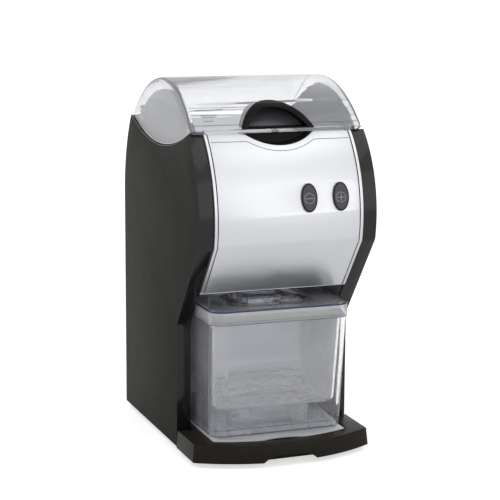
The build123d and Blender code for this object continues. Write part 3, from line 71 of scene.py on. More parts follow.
# ---------------------------------------------------------------- node trees
class NodeBook:
    """Writes a material's or the world's node tree: adds nodes, sets their values and links them."""

    def __init__(self, owner: bpy.types.Material | bpy.types.World) -> None:
        """Starts an empty tree.

        Args:
            owner: the material or world that the tree belongs to.
        """
        owner.use_nodes = True
        self.owner = owner
        self.tree = owner.node_tree
        self.tree.nodes.clear()

    def add(self, kind: str, **settings: object) -> bpy.types.Node:
        """Adds a node and sets its properties.

        Args:
            kind: the node's type, without the ShaderNode prefix.
            settings: property names and values.

        Returns:
            The new node.
        """
        node = self.tree.nodes.new("ShaderNode" + kind)
        for key, value in settings.items():
            setattr(node, key, value)
        return node

    def link(self, source: bpy.types.NodeSocket, target: bpy.types.NodeSocket) -> None:
        """Joins an output socket to an input socket."""
        self.tree.links.new(source, target)

    def object_coordinates(self, scale: tuple[float, float, float] = (1, 1, 1)) -> bpy.types.NodeSocket:
        """Gives Object coordinates stretched by scale, in pattern units per metre.

        Args:
            scale: the stretch along each axis.

        Returns:
            The socket with the coordinates.
        """
        place = self.add("TexCoord")
        mapping = self.add("Mapping")
        mapping.inputs["Scale"].default_value = scale
        self.link(place.outputs["Object"], mapping.inputs["Vector"])
        return mapping.outputs["Vector"]

    def noise(self, scale: float, detail: float = 2.0,
              stretch: tuple[float, float, float] = (1, 1, 1)) -> bpy.types.NodeSocket:
        """Adds a noise pattern in Object coordinates.

        Args:
            scale: cells per metre.
            detail: octaves of the noise.
            stretch: relative scale along each axis.

        Returns:
            The noise's factor socket, from 0 to 1.
        """
        node = self.add("TexNoise")
        node.inputs["Scale"].default_value = scale
        node.inputs["Detail"].default_value = detail
        self.link(self.object_coordinates(stretch), node.inputs["Vector"])
        return node.outputs["Fac"]

    def ramp(self, factor: bpy.types.NodeSocket, low: float, high: float,
             at: tuple[float, float] = (0.3, 0.7)) -> bpy.types.NodeSocket:
        """Maps a factor to a value between low and high.

        Args:
            factor: the incoming factor.
            low: the value at the first stop.
            high: the value at the second stop.
            at: the two stops on the factor.

        Returns:
            The socket with the mapped value.
        """
        node = self.add("MapRange")
        node.inputs["From Min"].default_value = at[0]
        node.inputs["From Max"].default_value = at[1]
        node.inputs["To Min"].default_value = low
        node.inputs["To Max"].default_value = high
        self.link(factor, node.inputs["Value"])
        return node.outputs["Result"]

    def colour_between(self, factor: bpy.types.NodeSocket, first: tuple[float, float, float],
                       second: tuple[float, float, float]) -> bpy.types.NodeSocket:
        """Blends two colours by a factor.

        Args:
            factor: the incoming factor.
            first: the colour at 0.3.
            second: the colour at 0.7.

        Returns:
            The colour socket.
        """
        node = self.add("ValToRGB")
        low, high = node.color_ramp.elements
        low.position, low.color = 0.3, (*first, 1.0)
        high.position, high.color = 0.7, (*second, 1.0)
        self.link(factor, node.inputs["Fac"])
        return node.outputs["Color"]

    def bump(self, height: bpy.types.NodeSocket, distance: float, strength: float,
             under: bpy.types.NodeSocket | None = None) -> bpy.types.NodeSocket:
        """Turns a height pattern into a bumped normal.

        Args:
            height: the pattern.
            distance: its full height in metres.
            strength: how much of it shows.
            under: a normal that it adds to.

        Returns:
            The normal socket.
        """
        node = self.add("Bump")
        node.inputs["Distance"].default_value = distance
        node.inputs["Strength"].default_value = strength
        self.link(height, node.inputs["Height"])
        if under is not None:
            self.link(under, node.inputs["Normal"])
        return node.outputs["Normal"]

    def ray(self, *kinds: str) -> bpy.types.NodeSocket:
        """Adds a switch that is 1 for the named kinds of light ray and 0 for the rest.

        Args:
            kinds: outputs of the Light Path node, such as Is Shadow Ray.

        Returns:
            The switch's socket.
        """
        path = self.add("LightPath")
        total = path.outputs[kinds[0]]
        for kind in kinds[1:]:
            either = self.add("Math", operation="MAXIMUM")
            self.link(total, either.inputs[0])
            self.link(path.outputs[kind], either.inputs[1])
            total = either.outputs[0]
        return total

    def surface(self, **values: object) -> bpy.types.Node:
        """Adds the main shader and joins it to the output.

        Args:
            values: socket names, with underscores for spaces, and constants for them.

        Returns:
            The shader node.
        """
        shader = self.add("BsdfPrincipled")
        for key, value in values.items():
            shader.inputs[key.replace("_", " ")].default_value = value
        output = self.add("OutputMaterial")
        self.link(shader.outputs["BSDF"], output.inputs["Surface"])
        return shader


# ---------------------------------------------------------------- finishes
@dataclass(frozen=True)
class Finish:
    """A named surface finish that knows how to write its material."""

    name: str

    def material(self) -> bpy.types.Material:
        """Gives the finish's material, made on first use."""
        made = bpy.data.materials.get(self.name)
        if made is None:
            made = bpy.data.materials.new(self.name)
            self.build(NodeBook(made))
        return made

    def build(self, book: NodeBook) -> None:
        """Writes the node tree into an empty book."""
        raise NotImplementedError


@dataclass(frozen=True)
class Moulding(Finish):
    """Moulded plastic: a base colour, a fine grain and slight unevenness of gloss."""

    colour: tuple[float, float, float] = (0.02, 0.02, 0.02)
    worn_colour: tuple[float, float, float] = (0.026, 0.026, 0.025)
    roughness: tuple[float, float] = (0.38, 0.48)
    grain_size: float = 0.5 * MM
    grain_height: float = 0.03 * MM
    mirror: float = 0.5
    ior: float = 1.5
    colour_cells: float = 18.0
    gloss_cells: float = 45.0
    wave_cells: float = 30.0
    wave_height: float = 0.06 * MM

    def build(self, book: NodeBook) -> None:
        """Writes mottled colour, uneven gloss and a grain over a slow waviness."""
        shader = book.surface(IOR=self.ior, Specular_IOR_Level=self.mirror)
        broad = book.noise(self.colour_cells, 3.0)
        book.link(book.colour_between(broad, self.colour, self.worn_colour), shader.inputs["Base Color"])
        book.link(book.ramp(book.noise(self.gloss_cells, 4.0), *self.roughness), shader.inputs["Roughness"])
        wave = book.bump(book.noise(self.wave_cells, 1.0), self.wave_height, 0.25)
        grain = book.bump(book.noise(1 / self.grain_size, 2.0), self.grain_height, 0.5, wave)
        book.link(grain, shader.inputs["Normal"])


@dataclass(frozen=True)
class BrushedSheet(Finish):
    """Brushed stainless sheet: streaks along one axis in colour, gloss and relief."""

    light: tuple[float, float, float] = (0.80, 0.805, 0.82)
    dark: tuple[float, float, float] = (0.72, 0.725, 0.74)
    roughness: tuple[float, float] = (0.26, 0.36)
    along: tuple[float, float, float] = (0.02, 1.0, 1.0)
    streak_size: float = 0.35 * MM
    relief: float = 0.006 * MM
    metal: float = 1.0
    pull: float = 0.35
    cloud_cells: float = 14.0
    cloud_share: float = 0.35

    def build(self, book: NodeBook) -> None:
        """Writes long fine streaks and a faint cloudiness."""
        shader = book.surface(Metallic=self.metal, Anisotropic=self.pull if self.relief else 0.0)
        streaks = book.noise(1 / self.streak_size, 3.0, self.along)
        clouds = book.noise(self.cloud_cells, 3.0)
        mixed = book.add("Math", operation="MULTIPLY_ADD")
        mixed.inputs[1].default_value = self.cloud_share
        book.link(clouds, mixed.inputs[0])
        scaled = book.add("Math", operation="MULTIPLY")
        scaled.inputs[1].default_value = 1 - self.cloud_share
        book.link(streaks, scaled.inputs[0])
        book.link(scaled.outputs[0], mixed.inputs[2])
        both = mixed.outputs[0]
        book.link(book.colour_between(both, self.dark, self.light), shader.inputs["Base Color"])
        book.link(book.ramp(both, self.roughness[1], self.roughness[0]), shader.inputs["Roughness"])
        if self.relief:
            book.link(book.bump(streaks, self.relief, 0.35), shader.inputs["Normal"])


@dataclass(frozen=True)
class ClearMoulding(Finish):
    """Clear moulded plastic: a faint tint, a little haze, a slightly uneven surface and painted shade where
    it is seen edge on.
    """

    tint: tuple[float, float, float] = (0.95, 0.96, 1.0)
    roughness: tuple[float, float] = (0.015, 0.05)
    clarity: float = 0.9
    ior: float = 1.42
    painted_edge_shade: float = 0.30
    painted_edge_band: tuple[float, float] = (0.72, 0.97)
    haze_cells: float = 22.0
    wave_cells: float = 26.0
    wave_height: float = 0.08 * MM

    def build(self, book: NodeBook) -> None:
        """Writes a clear shader, with painted shade that darkens it where it is seen edge on, that lets
        lamplight through.
        """
        shader = book.add("BsdfPrincipled")
        shader.inputs["Transmission Weight"].default_value = self.clarity
        shader.inputs["IOR"].default_value = self.ior
        haze = book.noise(self.haze_cells, 3.0)
        paler = tuple(min(1.0, c * 1.02) for c in self.tint)
        # Painted shade: the base colour darkens towards a third of the tint where the surface is seen edge
        # on.
        painted_edge = book.add("Mix", data_type="RGBA")
        painted_edge.inputs["B"].default_value = (*(c * self.painted_edge_shade for c in self.tint), 1.0)
        weight = book.add("LayerWeight")
        weight.inputs["Blend"].default_value = 0.5
        book.link(book.ramp(weight.outputs["Facing"], 0.0, 1.0, self.painted_edge_band), painted_edge.inputs["Factor"])
        book.link(book.colour_between(haze, self.tint, paler), painted_edge.inputs["A"])
        book.link(painted_edge.outputs["Result"], shader.inputs["Base Color"])
        book.link(book.ramp(haze, *self.roughness), shader.inputs["Roughness"])
        book.link(book.bump(book.noise(self.wave_cells, 1.0), self.wave_height, 0.2), shader.inputs["Normal"])
        open_side = book.add("BsdfTransparent")
        open_side.inputs["Color"].default_value = (*self.tint, 1.0)
        mixed = book.add("MixShader")
        book.link(book.ray("Is Shadow Ray", "Is Diffuse Ray"), mixed.inputs["Fac"])
        book.link(shader.outputs["BSDF"], mixed.inputs[1])
        book.link(open_side.outputs["BSDF"], mixed.inputs[2])
        output = book.add("OutputMaterial")
        book.link(mixed.outputs[0], output.inputs["Surface"])


@dataclass(frozen=True)
class Metal(Finish):
    """Plain metal: cast, ground or drawn, with a grain of its own size."""

    light: tuple[float, float, float] = (0.66, 0.66, 0.68)
    dark: tuple[float, float, float] = (0.52, 0.52, 0.54)
    roughness: tuple[float, float] = (0.25, 0.45)
    grain_size: float = 0.8 * MM
    grain_height: float = 0.05 * MM
    mottle_cells: float = 60.0

    def build(self, book: NodeBook) -> None:
        """Writes mottled metal with a grainy relief."""
        shader = book.surface(Metallic=1.0)
        broad = book.noise(self.mottle_cells, 4.0)
        book.link(book.colour_between(broad, self.dark, self.light), shader.inputs["Base Color"])
        book.link(book.ramp(broad, *self.roughness), shader.inputs["Roughness"])
        book.link(book.bump(book.noise(1 / self.grain_size, 3.0), self.grain_height, 0.4),
                  shader.inputs["Normal"])


SATIN_CHARCOAL = Moulding("satin_charcoal", (0.0225, 0.0215, 0.0195), (0.0245, 0.0235, 0.0210), (0.48, 0.52),
                          0.45 * MM, 0.02 * MM, mirror=0.05)
GLOSS_BLACK = Moulding("gloss_black", (0.006, 0.006, 0.006), (0.009, 0.008, 0.007), (0.12, 0.17), 1.2 * MM,
                       0.01 * MM, 0.42)
TRAY_BLACK = Moulding("tray_black", (0.015, 0.0125, 0.0095), (0.018, 0.015, 0.0115), (0.32, 0.40), 0.7 * MM,
                      0.02 * MM, mirror=0.10)
GRIP_BLACK = Moulding("grip_black", (0.004, 0.0035, 0.003), (0.006, 0.0055, 0.005), (0.10, 0.14), 1.0 * MM,
                      0.01 * MM, mirror=0.30, ior=1.25)
# Partly painted reflection: the grip's sunk back is lighter grey than its rim.
GRIP_GREY_AND_REFLECTION = Moulding("grip_grey_and_reflection", (0.060, 0.062, 0.070), (0.085, 0.088, 0.098), (0.28, 0.36), 0.8 * MM,
                     0.02 * MM, mirror=0.5)
BUTTON_BLACK = Moulding("button_black", (0.026, 0.026, 0.030), (0.032, 0.032, 0.037), (0.45, 0.55), 0.4 * MM,
                        0.02 * MM, mirror=0.1)
# Symbol grey, also painted highlight on the bow outside each ring.
SYMBOL_AND_HIGHLIGHT_GREY = Moulding("symbol_and_highlight_grey", (0.24, 0.25, 0.28), (0.30, 0.31, 0.34), (0.35, 0.45), 0.4 * MM,
                       0.01 * MM)
RUBBER_BLACK = Moulding("rubber_black", (0.012, 0.012, 0.012), (0.02, 0.02, 0.02), (0.65, 0.8), 0.6 * MM,
                        0.05 * MM, mirror=0.3)
INNER_BLACK = Moulding("inner_black", (0.008, 0.008, 0.008), (0.012, 0.012, 0.012), (0.40, 0.50), mirror=0.12)
# Painted shade: a grey tube along the pressed line on the cover's top.
PAINTED_SHADE_GREY = Moulding("painted_shade_grey", (0.10, 0.105, 0.115), (0.15, 0.155, 0.165), (0.4, 0.5), 0.3 * MM, 0.01 * MM)
# Painted shade: dark tubes in the cover's side grooves and dark faces under the cover's foot.
PAINTED_SHADE_DARK = Moulding("painted_shade_dark", (0.025, 0.026, 0.030), (0.035, 0.036, 0.040), (0.4, 0.5), 0.3 * MM,
                     0.01 * MM, mirror=0.3)
# Painted shade: dark tubes for the lines seen at the clear lid's edges and ridges.
CLEAR_LINE_SHADE = Moulding("clear_line_shade", (0.13, 0.13, 0.16), (0.19, 0.19, 0.23), (0.15, 0.25), 0.6 * MM, 0.01 * MM)
# Painted highlight: a pale tube for the bright line along the lid's end lip.
CLEAR_LIP_HIGHLIGHT = Moulding("clear_lip_highlight", (0.62, 0.63, 0.70), (0.72, 0.73, 0.80), (0.12, 0.2), 0.6 * MM, 0.01 * MM)
# Painted shade: dark blue for the bin cover's cut edge, which shows dark through refraction.
BIN_EDGE_SHADE = Moulding("bin_edge_shade", (0.018, 0.022, 0.085), (0.030, 0.036, 0.125), (0.08, 0.14), 0.8 * MM,
                    0.01 * MM)
# Painted shade: dark tubes for the lines seen at the clear bin's band and floor edges.
BIN_LINE_SHADE = Moulding("bin_line_shade", (0.13, 0.135, 0.19), (0.20, 0.205, 0.27), (0.15, 0.25), 0.6 * MM, 0.01 * MM)
FRONT_STEEL = BrushedSheet("front_steel", (0.74, 0.75, 0.775), (0.705, 0.715, 0.74), (0.36, 0.42))
HOPPER_STEEL = BrushedSheet("hopper_steel", (0.72, 0.73, 0.76), (0.68, 0.69, 0.72), (0.42, 0.48),
                            (0.05, 1.0, 1.0), relief=0.0)
END_STEEL = BrushedSheet("end_steel", (0.17, 0.175, 0.195), (0.14, 0.145, 0.165), (0.36, 0.46),
                         (1.0, 0.3, 1.0), 0.6 * MM)
SHEET_STEEL = BrushedSheet("sheet_steel", (0.62, 0.62, 0.63), (0.52, 0.52, 0.53), (0.32, 0.45),
                           (1.0, 1.0, 0.05))
NICHE_STEEL = BrushedSheet("niche_steel", (0.90, 0.905, 0.92), (0.875, 0.88, 0.895), (0.50, 0.56),
                           (0.05, 1.0, 1.0), metal=0.2)
LID_CLEAR = ClearMoulding("lid_clear", (0.955, 0.96, 0.975), (0.015, 0.05), 0.91)
BIN_CLEAR = ClearMoulding("bin_clear", (0.972, 0.976, 0.995), (0.012, 0.03), 0.94)
BIN_COLLAR = ClearMoulding("bin_collar", (0.93, 0.935, 0.965), (0.05, 0.10), 0.62)
BASKET_CLEAR = ClearMoulding("basket_clear", (0.978, 0.981, 0.995), (0.02, 0.05), 0.92)
GRID_STEEL = BrushedSheet("grid_steel", (0.22, 0.23, 0.30), (0.18, 0.19, 0.25), (0.36, 0.48),
                          (0.05, 1.0, 1.0))
CAST_ALLOY = Metal("cast_alloy", (0.60, 0.60, 0.62), (0.46, 0.46, 0.48), (0.4, 0.6), 0.6 * MM, 0.12 * MM)
GROUND_STEEL = Metal("ground_steel", (0.74, 0.74, 0.75), (0.62, 0.62, 0.63), (0.12, 0.25), 0.3 * MM,
                     0.01 * MM)
DARK_STEEL = Metal("dark_steel", (0.30, 0.30, 0.31), (0.20, 0.20, 0.21), (0.35, 0.5), 0.4 * MM, 0.04 * MM)
WOUND_COPPER = Metal("wound_copper", (0.72, 0.34, 0.16), (0.50, 0.20, 0.08), (0.3, 0.45), 1.0 * MM, 0.3 * MM)


# ---------------------------------------------------------------- mesh work
def alone(piece: bpy.types.Object) -> None:
    """Selects one object and makes it active, with nothing else selected."""
    for other in bpy.context.selected_objects:
        other.select_set(False)
    piece.select_set(True)
    bpy.context.view_layer.objects.active = piece


def smooth(piece: bpy.types.Object, degrees: float = 35.0) -> None:
    """Shades a piece smooth, but keeps edges sharper than the given angle."""
    alone(piece)
    bpy.ops.object.shade_smooth_by_angle(angle=math.radians(degrees))


def apply_modifier(piece: bpy.types.Object, kind: str, **settings: object) -> None:
    """Adds a modifier and applies it.

    Args:
        piece: the object to change.
        kind: the modifier's type.
        settings: its property names and values.
    """
    alone(piece)
    modifier = piece.modifiers.new(kind.lower(), kind)
    for key, value in settings.items():
        setattr(modifier, key, value)
    bpy.ops.object.modifier_apply(modifier=modifier.name)


def dressed(piece: bpy.types.Object, finish: Finish, body: Body) -> bpy.types.Object:
    """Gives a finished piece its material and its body.

    Args:
        piece: the object, with its place in its mesh.
        finish: the finish of its whole surface.
        body: the body that it rides on.

    Returns:
        The same object.
    """
    if not piece.data.materials:
        piece.data.materials.append(finish.material())
    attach(piece, body.value)
    return piece


def rounded_copy(node: str, name: str, width: float, segments: int = 2,
                 angle: float = 40.0) -> bpy.types.Object:
    """Copies a solid's mesh, joins its flat faces and rounds its hard edges.

    Args:
        node: the solid's name.
        name: the new piece's name.
        width: how far the rounding reaches from an edge, in metres.
        segments: steps of the rounding.
        angle: edges sharper than this many degrees are rounded.

    Returns:
        The new object, which replaces the solid.
    """
    source = bpy.data.objects[node]
    piece = bpy.data.objects.new(name, source.data.copy())
    piece.data.materials.clear()
    bpy.context.scene.collection.objects.link(piece)
    alone(piece)
    bpy.ops.object.mode_set(mode="EDIT")
    bpy.ops.mesh.select_all(action="SELECT")
    bpy.ops.mesh.remove_doubles(threshold=0.002 * MM)
    bpy.ops.mesh.dissolve_limited(angle_limit=math.radians(0.4))
    bpy.ops.object.mode_set(mode="OBJECT")
    if width > 0:
        apply_modifier(piece, "BEVEL", width=width, segments=segments, limit_method="ANGLE",
                       angle_limit=math.radians(angle), use_clamp_overlap=True, miter_outer="MITER_SHARP")
    smooth(piece)
    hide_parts(node)
    return piece


def line_tube(name: str, points: list[Vector], radius: float, closed: bool = False) -> bpy.types.Object:
    """Lays a thin round bead along a line of points.

    Args:
        name: the new piece's name.
        points: the line, in metres.
        radius: the bead's radius.
        closed: True if the last point joins the first.

    Returns:
        The bead as a mesh object.
    """
    curve = bpy.data.curves.new(name, "CURVE")
    curve.dimensions = "3D"
    curve.bevel_depth = radius
    curve.bevel_resolution = 3
    curve.use_fill_caps = True
    spline = curve.splines.new("POLY")
    spline.points.add(len(points) - 1)
    for target, point in zip(spline.points, points):
        target.co = (*point, 1.0)
    spline.use_cyclic_u = closed
    piece = bpy.data.objects.new(name, curve)
    bpy.context.scene.collection.objects.link(piece)
    alone(piece)
    bpy.ops.object.convert(target="MESH")
    smooth(piece, 60.0)
    return piece


def three_point_arc(first: tuple[float, float], middle: tuple[float, float], last: tuple[float, float],
                    steps: int, grow: float = 0.0) -> list[tuple[float, float]]:
    """Gives points along the arc through three points.

    Args:
        first: where the arc starts.
        middle: a point on it.
        last: where it ends.
        steps: the number of stretches.
        grow: how much is added to the arc's radius.

    Returns:
        The points, from first to last.
    """
    (ax, ay), (bx, by), (cx, cy) = first, middle, last
    turn = 2 * (ax * (by - cy) + bx * (cy - ay) + cx * (ay - by))
    a2, b2, c2 = ax * ax + ay * ay, bx * bx + by * by, cx * cx + cy * cy
    ox = (a2 * (by - cy) + b2 * (cy - ay) + c2 * (ay - by)) / turn
    oy = (a2 * (cx - bx) + b2 * (ax - cx) + c2 * (bx - ax)) / turn
    radius = math.hypot(ax - ox, ay - oy) + grow
    start, halfway, end = (math.atan2(y - oy, x - ox) for x, y in (first, middle, last))
    while halfway < start:
        halfway += math.tau
    while end < start:
        end += math.tau
    if halfway > end:
        end -= math.tau
    angles = [start + (end - start) * k / steps for k in range(steps + 1)]
    return [(ox + radius * math.cos(a), oy + radius * math.sin(a)) for a in angles]


def rounded_loop(half_x: float, front: float, back: float, corner: float, z: float,
                 steps: int = 8) -> list[Vector]:
    """Gives a closed rounded rectangle at one height.

    Args:
        half_x: half its width.
        front: its front edge.
        back: its rear edge.
        corner: the radius of its corners.
        z: its height.
        steps: stretches in each corner.

    Returns:
        The points in order, in metres.
    """
    middle, half_y = (front + back) / 2, (back - front) / 2
    points = []
    for quarter in range(4):
        centre_x = (half_x - corner) * (1 if quarter in (0, 3) else -1)
        centre_y = middle + (half_y - corner) * (1 if quarter in (0, 1) else -1)
        for step in range(steps + 1):
            angle = math.pi / 2 * (quarter + step / steps)
            points.append(Vector((centre_x + corner * math.cos(angle),
                                  centre_y + corner * math.sin(angle), z)))
    return points


def paint_node(node: str, finish: Finish) -> None:
    """Gives a solid that stays on show another finish in every slot."""
    mesh = bpy.data.objects[node].data
    if not mesh.materials:
        mesh.materials.append(finish.material())
    for index in range(len(mesh.materials)):
        mesh.materials[index] = finish.material()


# ---------------------------------------------------------------- studio
@dataclass
class Studio:
    """A pale floor, a white surround, soft lamps and the camera."""

    eye: tuple[float, float, float] = (-0.71646, -1.93369, 0.62171)
    yaw: float = 0.3573
    pitch: float = 0.1829
    roll: float = 0.0061
    lens: float = 116.71
    sensor: float = 36.0
    sight: float = 50.0
    aim: tuple[float, float, float] = (0.0, 0.0, 0.22)
    lamps: tuple[tuple[str, tuple[float, float, float], tuple[float, float], float], ...] = (
        ("key", (-1.7, -1.4, 1.7), (1.4, 1.2), 3.5),
        ("top", (0.8, -0.85, 2.2), (2.0, 0.95), 3.5),
        ("front", (0.75, -2.1, 0.85), (1.8, 1.5), 4.0))
    floor_size: float = 40.0
    floor_drop: float = 0.4 * MM
    floor_glow: float = 0.62
    mirrored_glow: float = 0.16
    fill_light: float = 0.66

    def camera(self) -> None:
        """Places the camera at the photograph's viewing angle."""
        forward = Vector((math.sin(self.yaw) * math.cos(self.pitch),
                          math.cos(self.yaw) * math.cos(self.pitch), -math.sin(self.pitch)))
        level = Vector((math.cos(self.yaw), -math.sin(self.yaw), 0.0))
        above = level.cross(forward)
        right = level * math.cos(self.roll) + above * math.sin(self.roll)
        up = above * math.cos(self.roll) - level * math.sin(self.roll)
        data = bpy.data.cameras.new("camera")
        data.lens = self.lens
        data.sensor_width = self.sensor
        data.clip_end = self.sight
        lens = bpy.data.objects.new("camera", data)
        turn = Matrix((right, up, -forward)).transposed()
        lens.matrix_world = Matrix.Translation(self.eye) @ turn.to_4x4()
        bpy.context.scene.collection.objects.link(lens)
        bpy.context.scene.camera = lens

    def surround(self) -> None:
        """Makes the world: white where it is seen or mirrored, softer where it lights."""
        book = NodeBook(bpy.data.worlds.new("surround"))
        seen = book.ray("Is Camera Ray", "Is Glossy Ray", "Is Transmission Ray")
        background = book.add("Background")
        background.inputs["Color"].default_value = (1.0, 1.0, 1.0, 1.0)
        book.link(book.ramp(seen, self.fill_light, 1.0, (0.0, 1.0)), background.inputs["Strength"])
        book.link(background.outputs["Background"], book.add("OutputWorld").inputs["Surface"])
        bpy.context.scene.world = book.owner

    def floor(self) -> None:
        """Lays the plain pale floor, which is white to the eye but keeps the machine's shadow."""
        bpy.ops.mesh.primitive_plane_add(size=self.floor_size, location=(0, 0, -self.floor_drop))
        floor = bpy.context.object
        floor.name = "floor"
        book = NodeBook(bpy.data.materials.new("pale_floor"))
        matt = book.add("BsdfDiffuse")
        book.link(book.colour_between(book.noise(3.0), (0.90, 0.90, 0.90), (0.92, 0.92, 0.92)),
                  matt.inputs["Color"])
        glow = book.add("Emission")
        seen = book.ramp(book.ray("Is Camera Ray", "Is Transmission Ray"), 0.0, self.floor_glow, (0.0, 1.0))
        mirrored = book.ramp(book.ray("Is Glossy Ray"), 0.0, self.mirrored_glow, (0.0, 1.0))
        total = book.add("Math", operation="MAXIMUM")
        book.link(seen, total.inputs[0])
        book.link(mirrored, total.inputs[1])
        book.link(total.outputs[0], glow.inputs["Strength"])
        both = book.add("AddShader")
        book.link(matt.outputs["BSDF"], both.inputs[0])
        book.link(glow.outputs["Emission"], both.inputs[1])
        book.link(both.outputs[0], book.add("OutputMaterial").inputs["Surface"])
        floor.data.materials.append(book.owner)

    def lamp(self, name: str, place: tuple[float, float, float], size: tuple[float, float],
             power: float) -> None:
        """Hangs a rectangular soft lamp that points at the machine.

        Args:
            name: the lamp's name.
            place: where it hangs.
            size: its width and height.
            power: its power in watts.
        """
        data = bpy.data.lights.new(name, "AREA")
        data.shape = "RECTANGLE"
        data.size, data.size_y = size
        data.energy = power
        lamp = bpy.data.objects.new(name, data)
        lamp.location = place
        towards = Vector(self.aim) - Vector(place)
        lamp.rotation_euler = towards.to_track_quat("-Z", "Y").to_euler()
        bpy.context.scene.collection.objects.link(lamp)

    def build(self) -> None:
        """Builds the whole studio."""
        self.floor()
        self.surround()
        for lamp in self.lamps:
            self.lamp(*lamp)
        self.camera()
        bpy.context.scene.view_settings.view_transform = "Standard"
        LOG.info("studio ready")


# ---------------------------------------------------------------- casing
@dataclass(frozen=True)
class CoverFace:
    """The outer face of the steel front: a rolled head over a lean."""

    centre: tuple[float, float] = (-8.5 * MM, 301.8 * MM)
    radius: float = 144.5 * MM
    fold_z: float = 273.0 * MM
    lean: float = 0.773

    def point(self, x: float, z: float, lift: float = 0.0) -> Vector:
        """Gives the point of the steel at height z.

        Args:
            x: the place across.
            z: the height.
            lift: how far the point stands off the steel.

        Returns:
            The point, in metres.
        """
        y0, z0 = self.centre
        reach = self.radius + lift
        if z >= self.fold_z:
            return Vector((x, y0 - math.sqrt(reach ** 2 - (z - z0) ** 2), z))
        fold_y = y0 - math.sqrt(reach ** 2 - (self.fold_z - z0) ** 2)
        return Vector((x, fold_y + self.lean * (self.fold_z - z), z))

    def frame(self, x: float, z: float) -> Matrix:
        """Gives a frame on the steel: its origin there, +Z out of it and +Y up."""
        origin = self.point(x, z)
        out = Vector((0, origin.y - self.centre[0], z - self.centre[1])).normalized()
        across = Vector((1, 0, 0))
        return Matrix.Translation(origin) @ Matrix((across, out.cross(across), out)).transposed().to_4x4()


COVER_FACE = CoverFace()


@dataclass
class Casing:
    """Side panels, covers, base, feet and the niche behind the bin."""

    edge_round: float = 1.6 * MM
    face_depth: float = 0.4 * MM
    seam_radius: float = 0.42 * MM
    seam_inset: float = 6.5 * MM
    seam_z: float = 396.0 * MM
    dip_centre_z: float = 469.3 * MM
    dip_radius: float = 85.0 * MM
    dip_blend: float = 0.8 * MM
    dip_reach: float = 0.9
    seam_steps: int = 120
    edge_line_inset: float = 4.0 * MM
    edge_line_radius: float = 0.6 * MM
    edge_line_steps: int = 48
    painted_shade_foot: float = 2.5 * MM
    plain: dict[str, Finish] = field(default_factory=lambda: {
        "frame_plate_right": SHEET_STEEL, "frame_plate_left": SHEET_STEEL, "base_plate": SHEET_STEEL,
        "panel_screws": GROUND_STEEL, "foot_screws": GROUND_STEEL, "hinge_screws": GROUND_STEEL,
        "hopper_screws": GROUND_STEEL, "niche_liner": NICHE_STEEL, "power_inlet": INNER_BLACK,
        "control_box": INNER_BLACK, "run_capacitor": CAST_ALLOY, "lid_sensor": INNER_BLACK})

    def side_panel(self, side: str) -> None:
        """Dresses one side panel: a satin face inside a glossy edge band.

        Args:
            side: right or left.
        """
        piece = rounded_copy(f"side_panel_{side}", f"panel_{side}", self.edge_round, 3)
        piece.data.materials.append(GLOSS_BLACK.material())
        piece.data.materials.append(SATIN_CHARCOAL.material())
        reach = max(abs(v.co.x) for v in piece.data.vertices)
        for face in piece.data.polygons:
            if abs(face.normal.x) > 0.99 and abs(face.center.x) > reach - self.face_depth:
                face.material_index = 1
        dressed(piece, GLOSS_BLACK, Body.MACHINE)

    def top_seam(self) -> None:
        """Lays a grey tube of painted shade along the pressed line on the cover's top, which dips round the
        finger recess.
        """
        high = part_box("front_cover")[1]
        half = high.x - self.seam_inset
        points = []
        for index in range(self.seam_steps + 1):
            x = -half + 2 * half * index / self.seam_steps
            reach = min(abs(x), self.dip_reach * self.dip_radius)
            dip_z = self.dip_centre_z - math.sqrt(self.dip_radius ** 2 - reach ** 2)
            gap = (dip_z - self.seam_z) / self.dip_blend
            z = dip_z - self.dip_blend * math.log1p(math.exp(min(gap, 60.0)))
            points.append(COVER_FACE.point(x, z, -self.seam_radius * 0.3))
        # The grey tube is painted shade in the pressed line, not a part of its own.
        seam = line_tube("cover_top_seam_shade", points, self.seam_radius)
        dressed(seam, PAINTED_SHADE_GREY, Body.MACHINE)

    def edge_lines(self) -> None:
        """Lays a dark tube of painted shade in the groove along each side edge of the front cover."""
        low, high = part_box("front_cover")
        for side, name in ((-1, "left"), (1, "right")):
            x = side * (high.x - self.edge_line_inset)
            points = [COVER_FACE.point(x, low.z + (high.z - low.z) * step / self.edge_line_steps, 0.05 * MM)
                      for step in range(self.edge_line_steps + 1)]
            line = line_tube(f"cover_edge_groove_shade_{name}", points, self.edge_line_radius)
            dressed(line, PAINTED_SHADE_DARK, Body.MACHINE)

    def covers(self) -> None:
        """Dresses the front cover, the finger recess and the rear cover."""
        front = rounded_copy("front_cover", "front_sheet", 0.35 * MM, 2)
        front.data.materials.append(FRONT_STEEL.material())
        front.data.materials.append(PAINTED_SHADE_DARK.material())
        # Painted shade: the downward faces at the cover's foot take the dark finish instead of steel.
        foot_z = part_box("front_cover")[0].z
        for face in front.data.polygons:
            if face.center.z < foot_z + self.painted_shade_foot and face.normal.z < -0.3:
                face.material_index = 1
        dressed(front, FRONT_STEEL, Body.MACHINE)
        recess = rounded_copy("finger_recess", "finger_scoop", 0.4 * MM, 2)
        dressed(recess, INNER_BLACK, Body.MACHINE)
        rear = rounded_copy("rear_cover", "rear_sheet", 0.35 * MM, 1)
        dressed(rear, SHEET_STEEL, Body.MACHINE)

    def build(self) -> None:
        """Builds the casing's pieces."""
        self.side_panel("right")
        self.side_panel("left")
        self.covers()
        self.top_seam()
        self.edge_lines()
        feet = rounded_copy("rubber_feet", "feet", 0.6 * MM, 2)
        dressed(feet, RUBBER_BLACK, Body.MACHINE)
        for node, finish in self.plain.items():
            paint_node(node, finish)
        LOG.info("casing dressed")


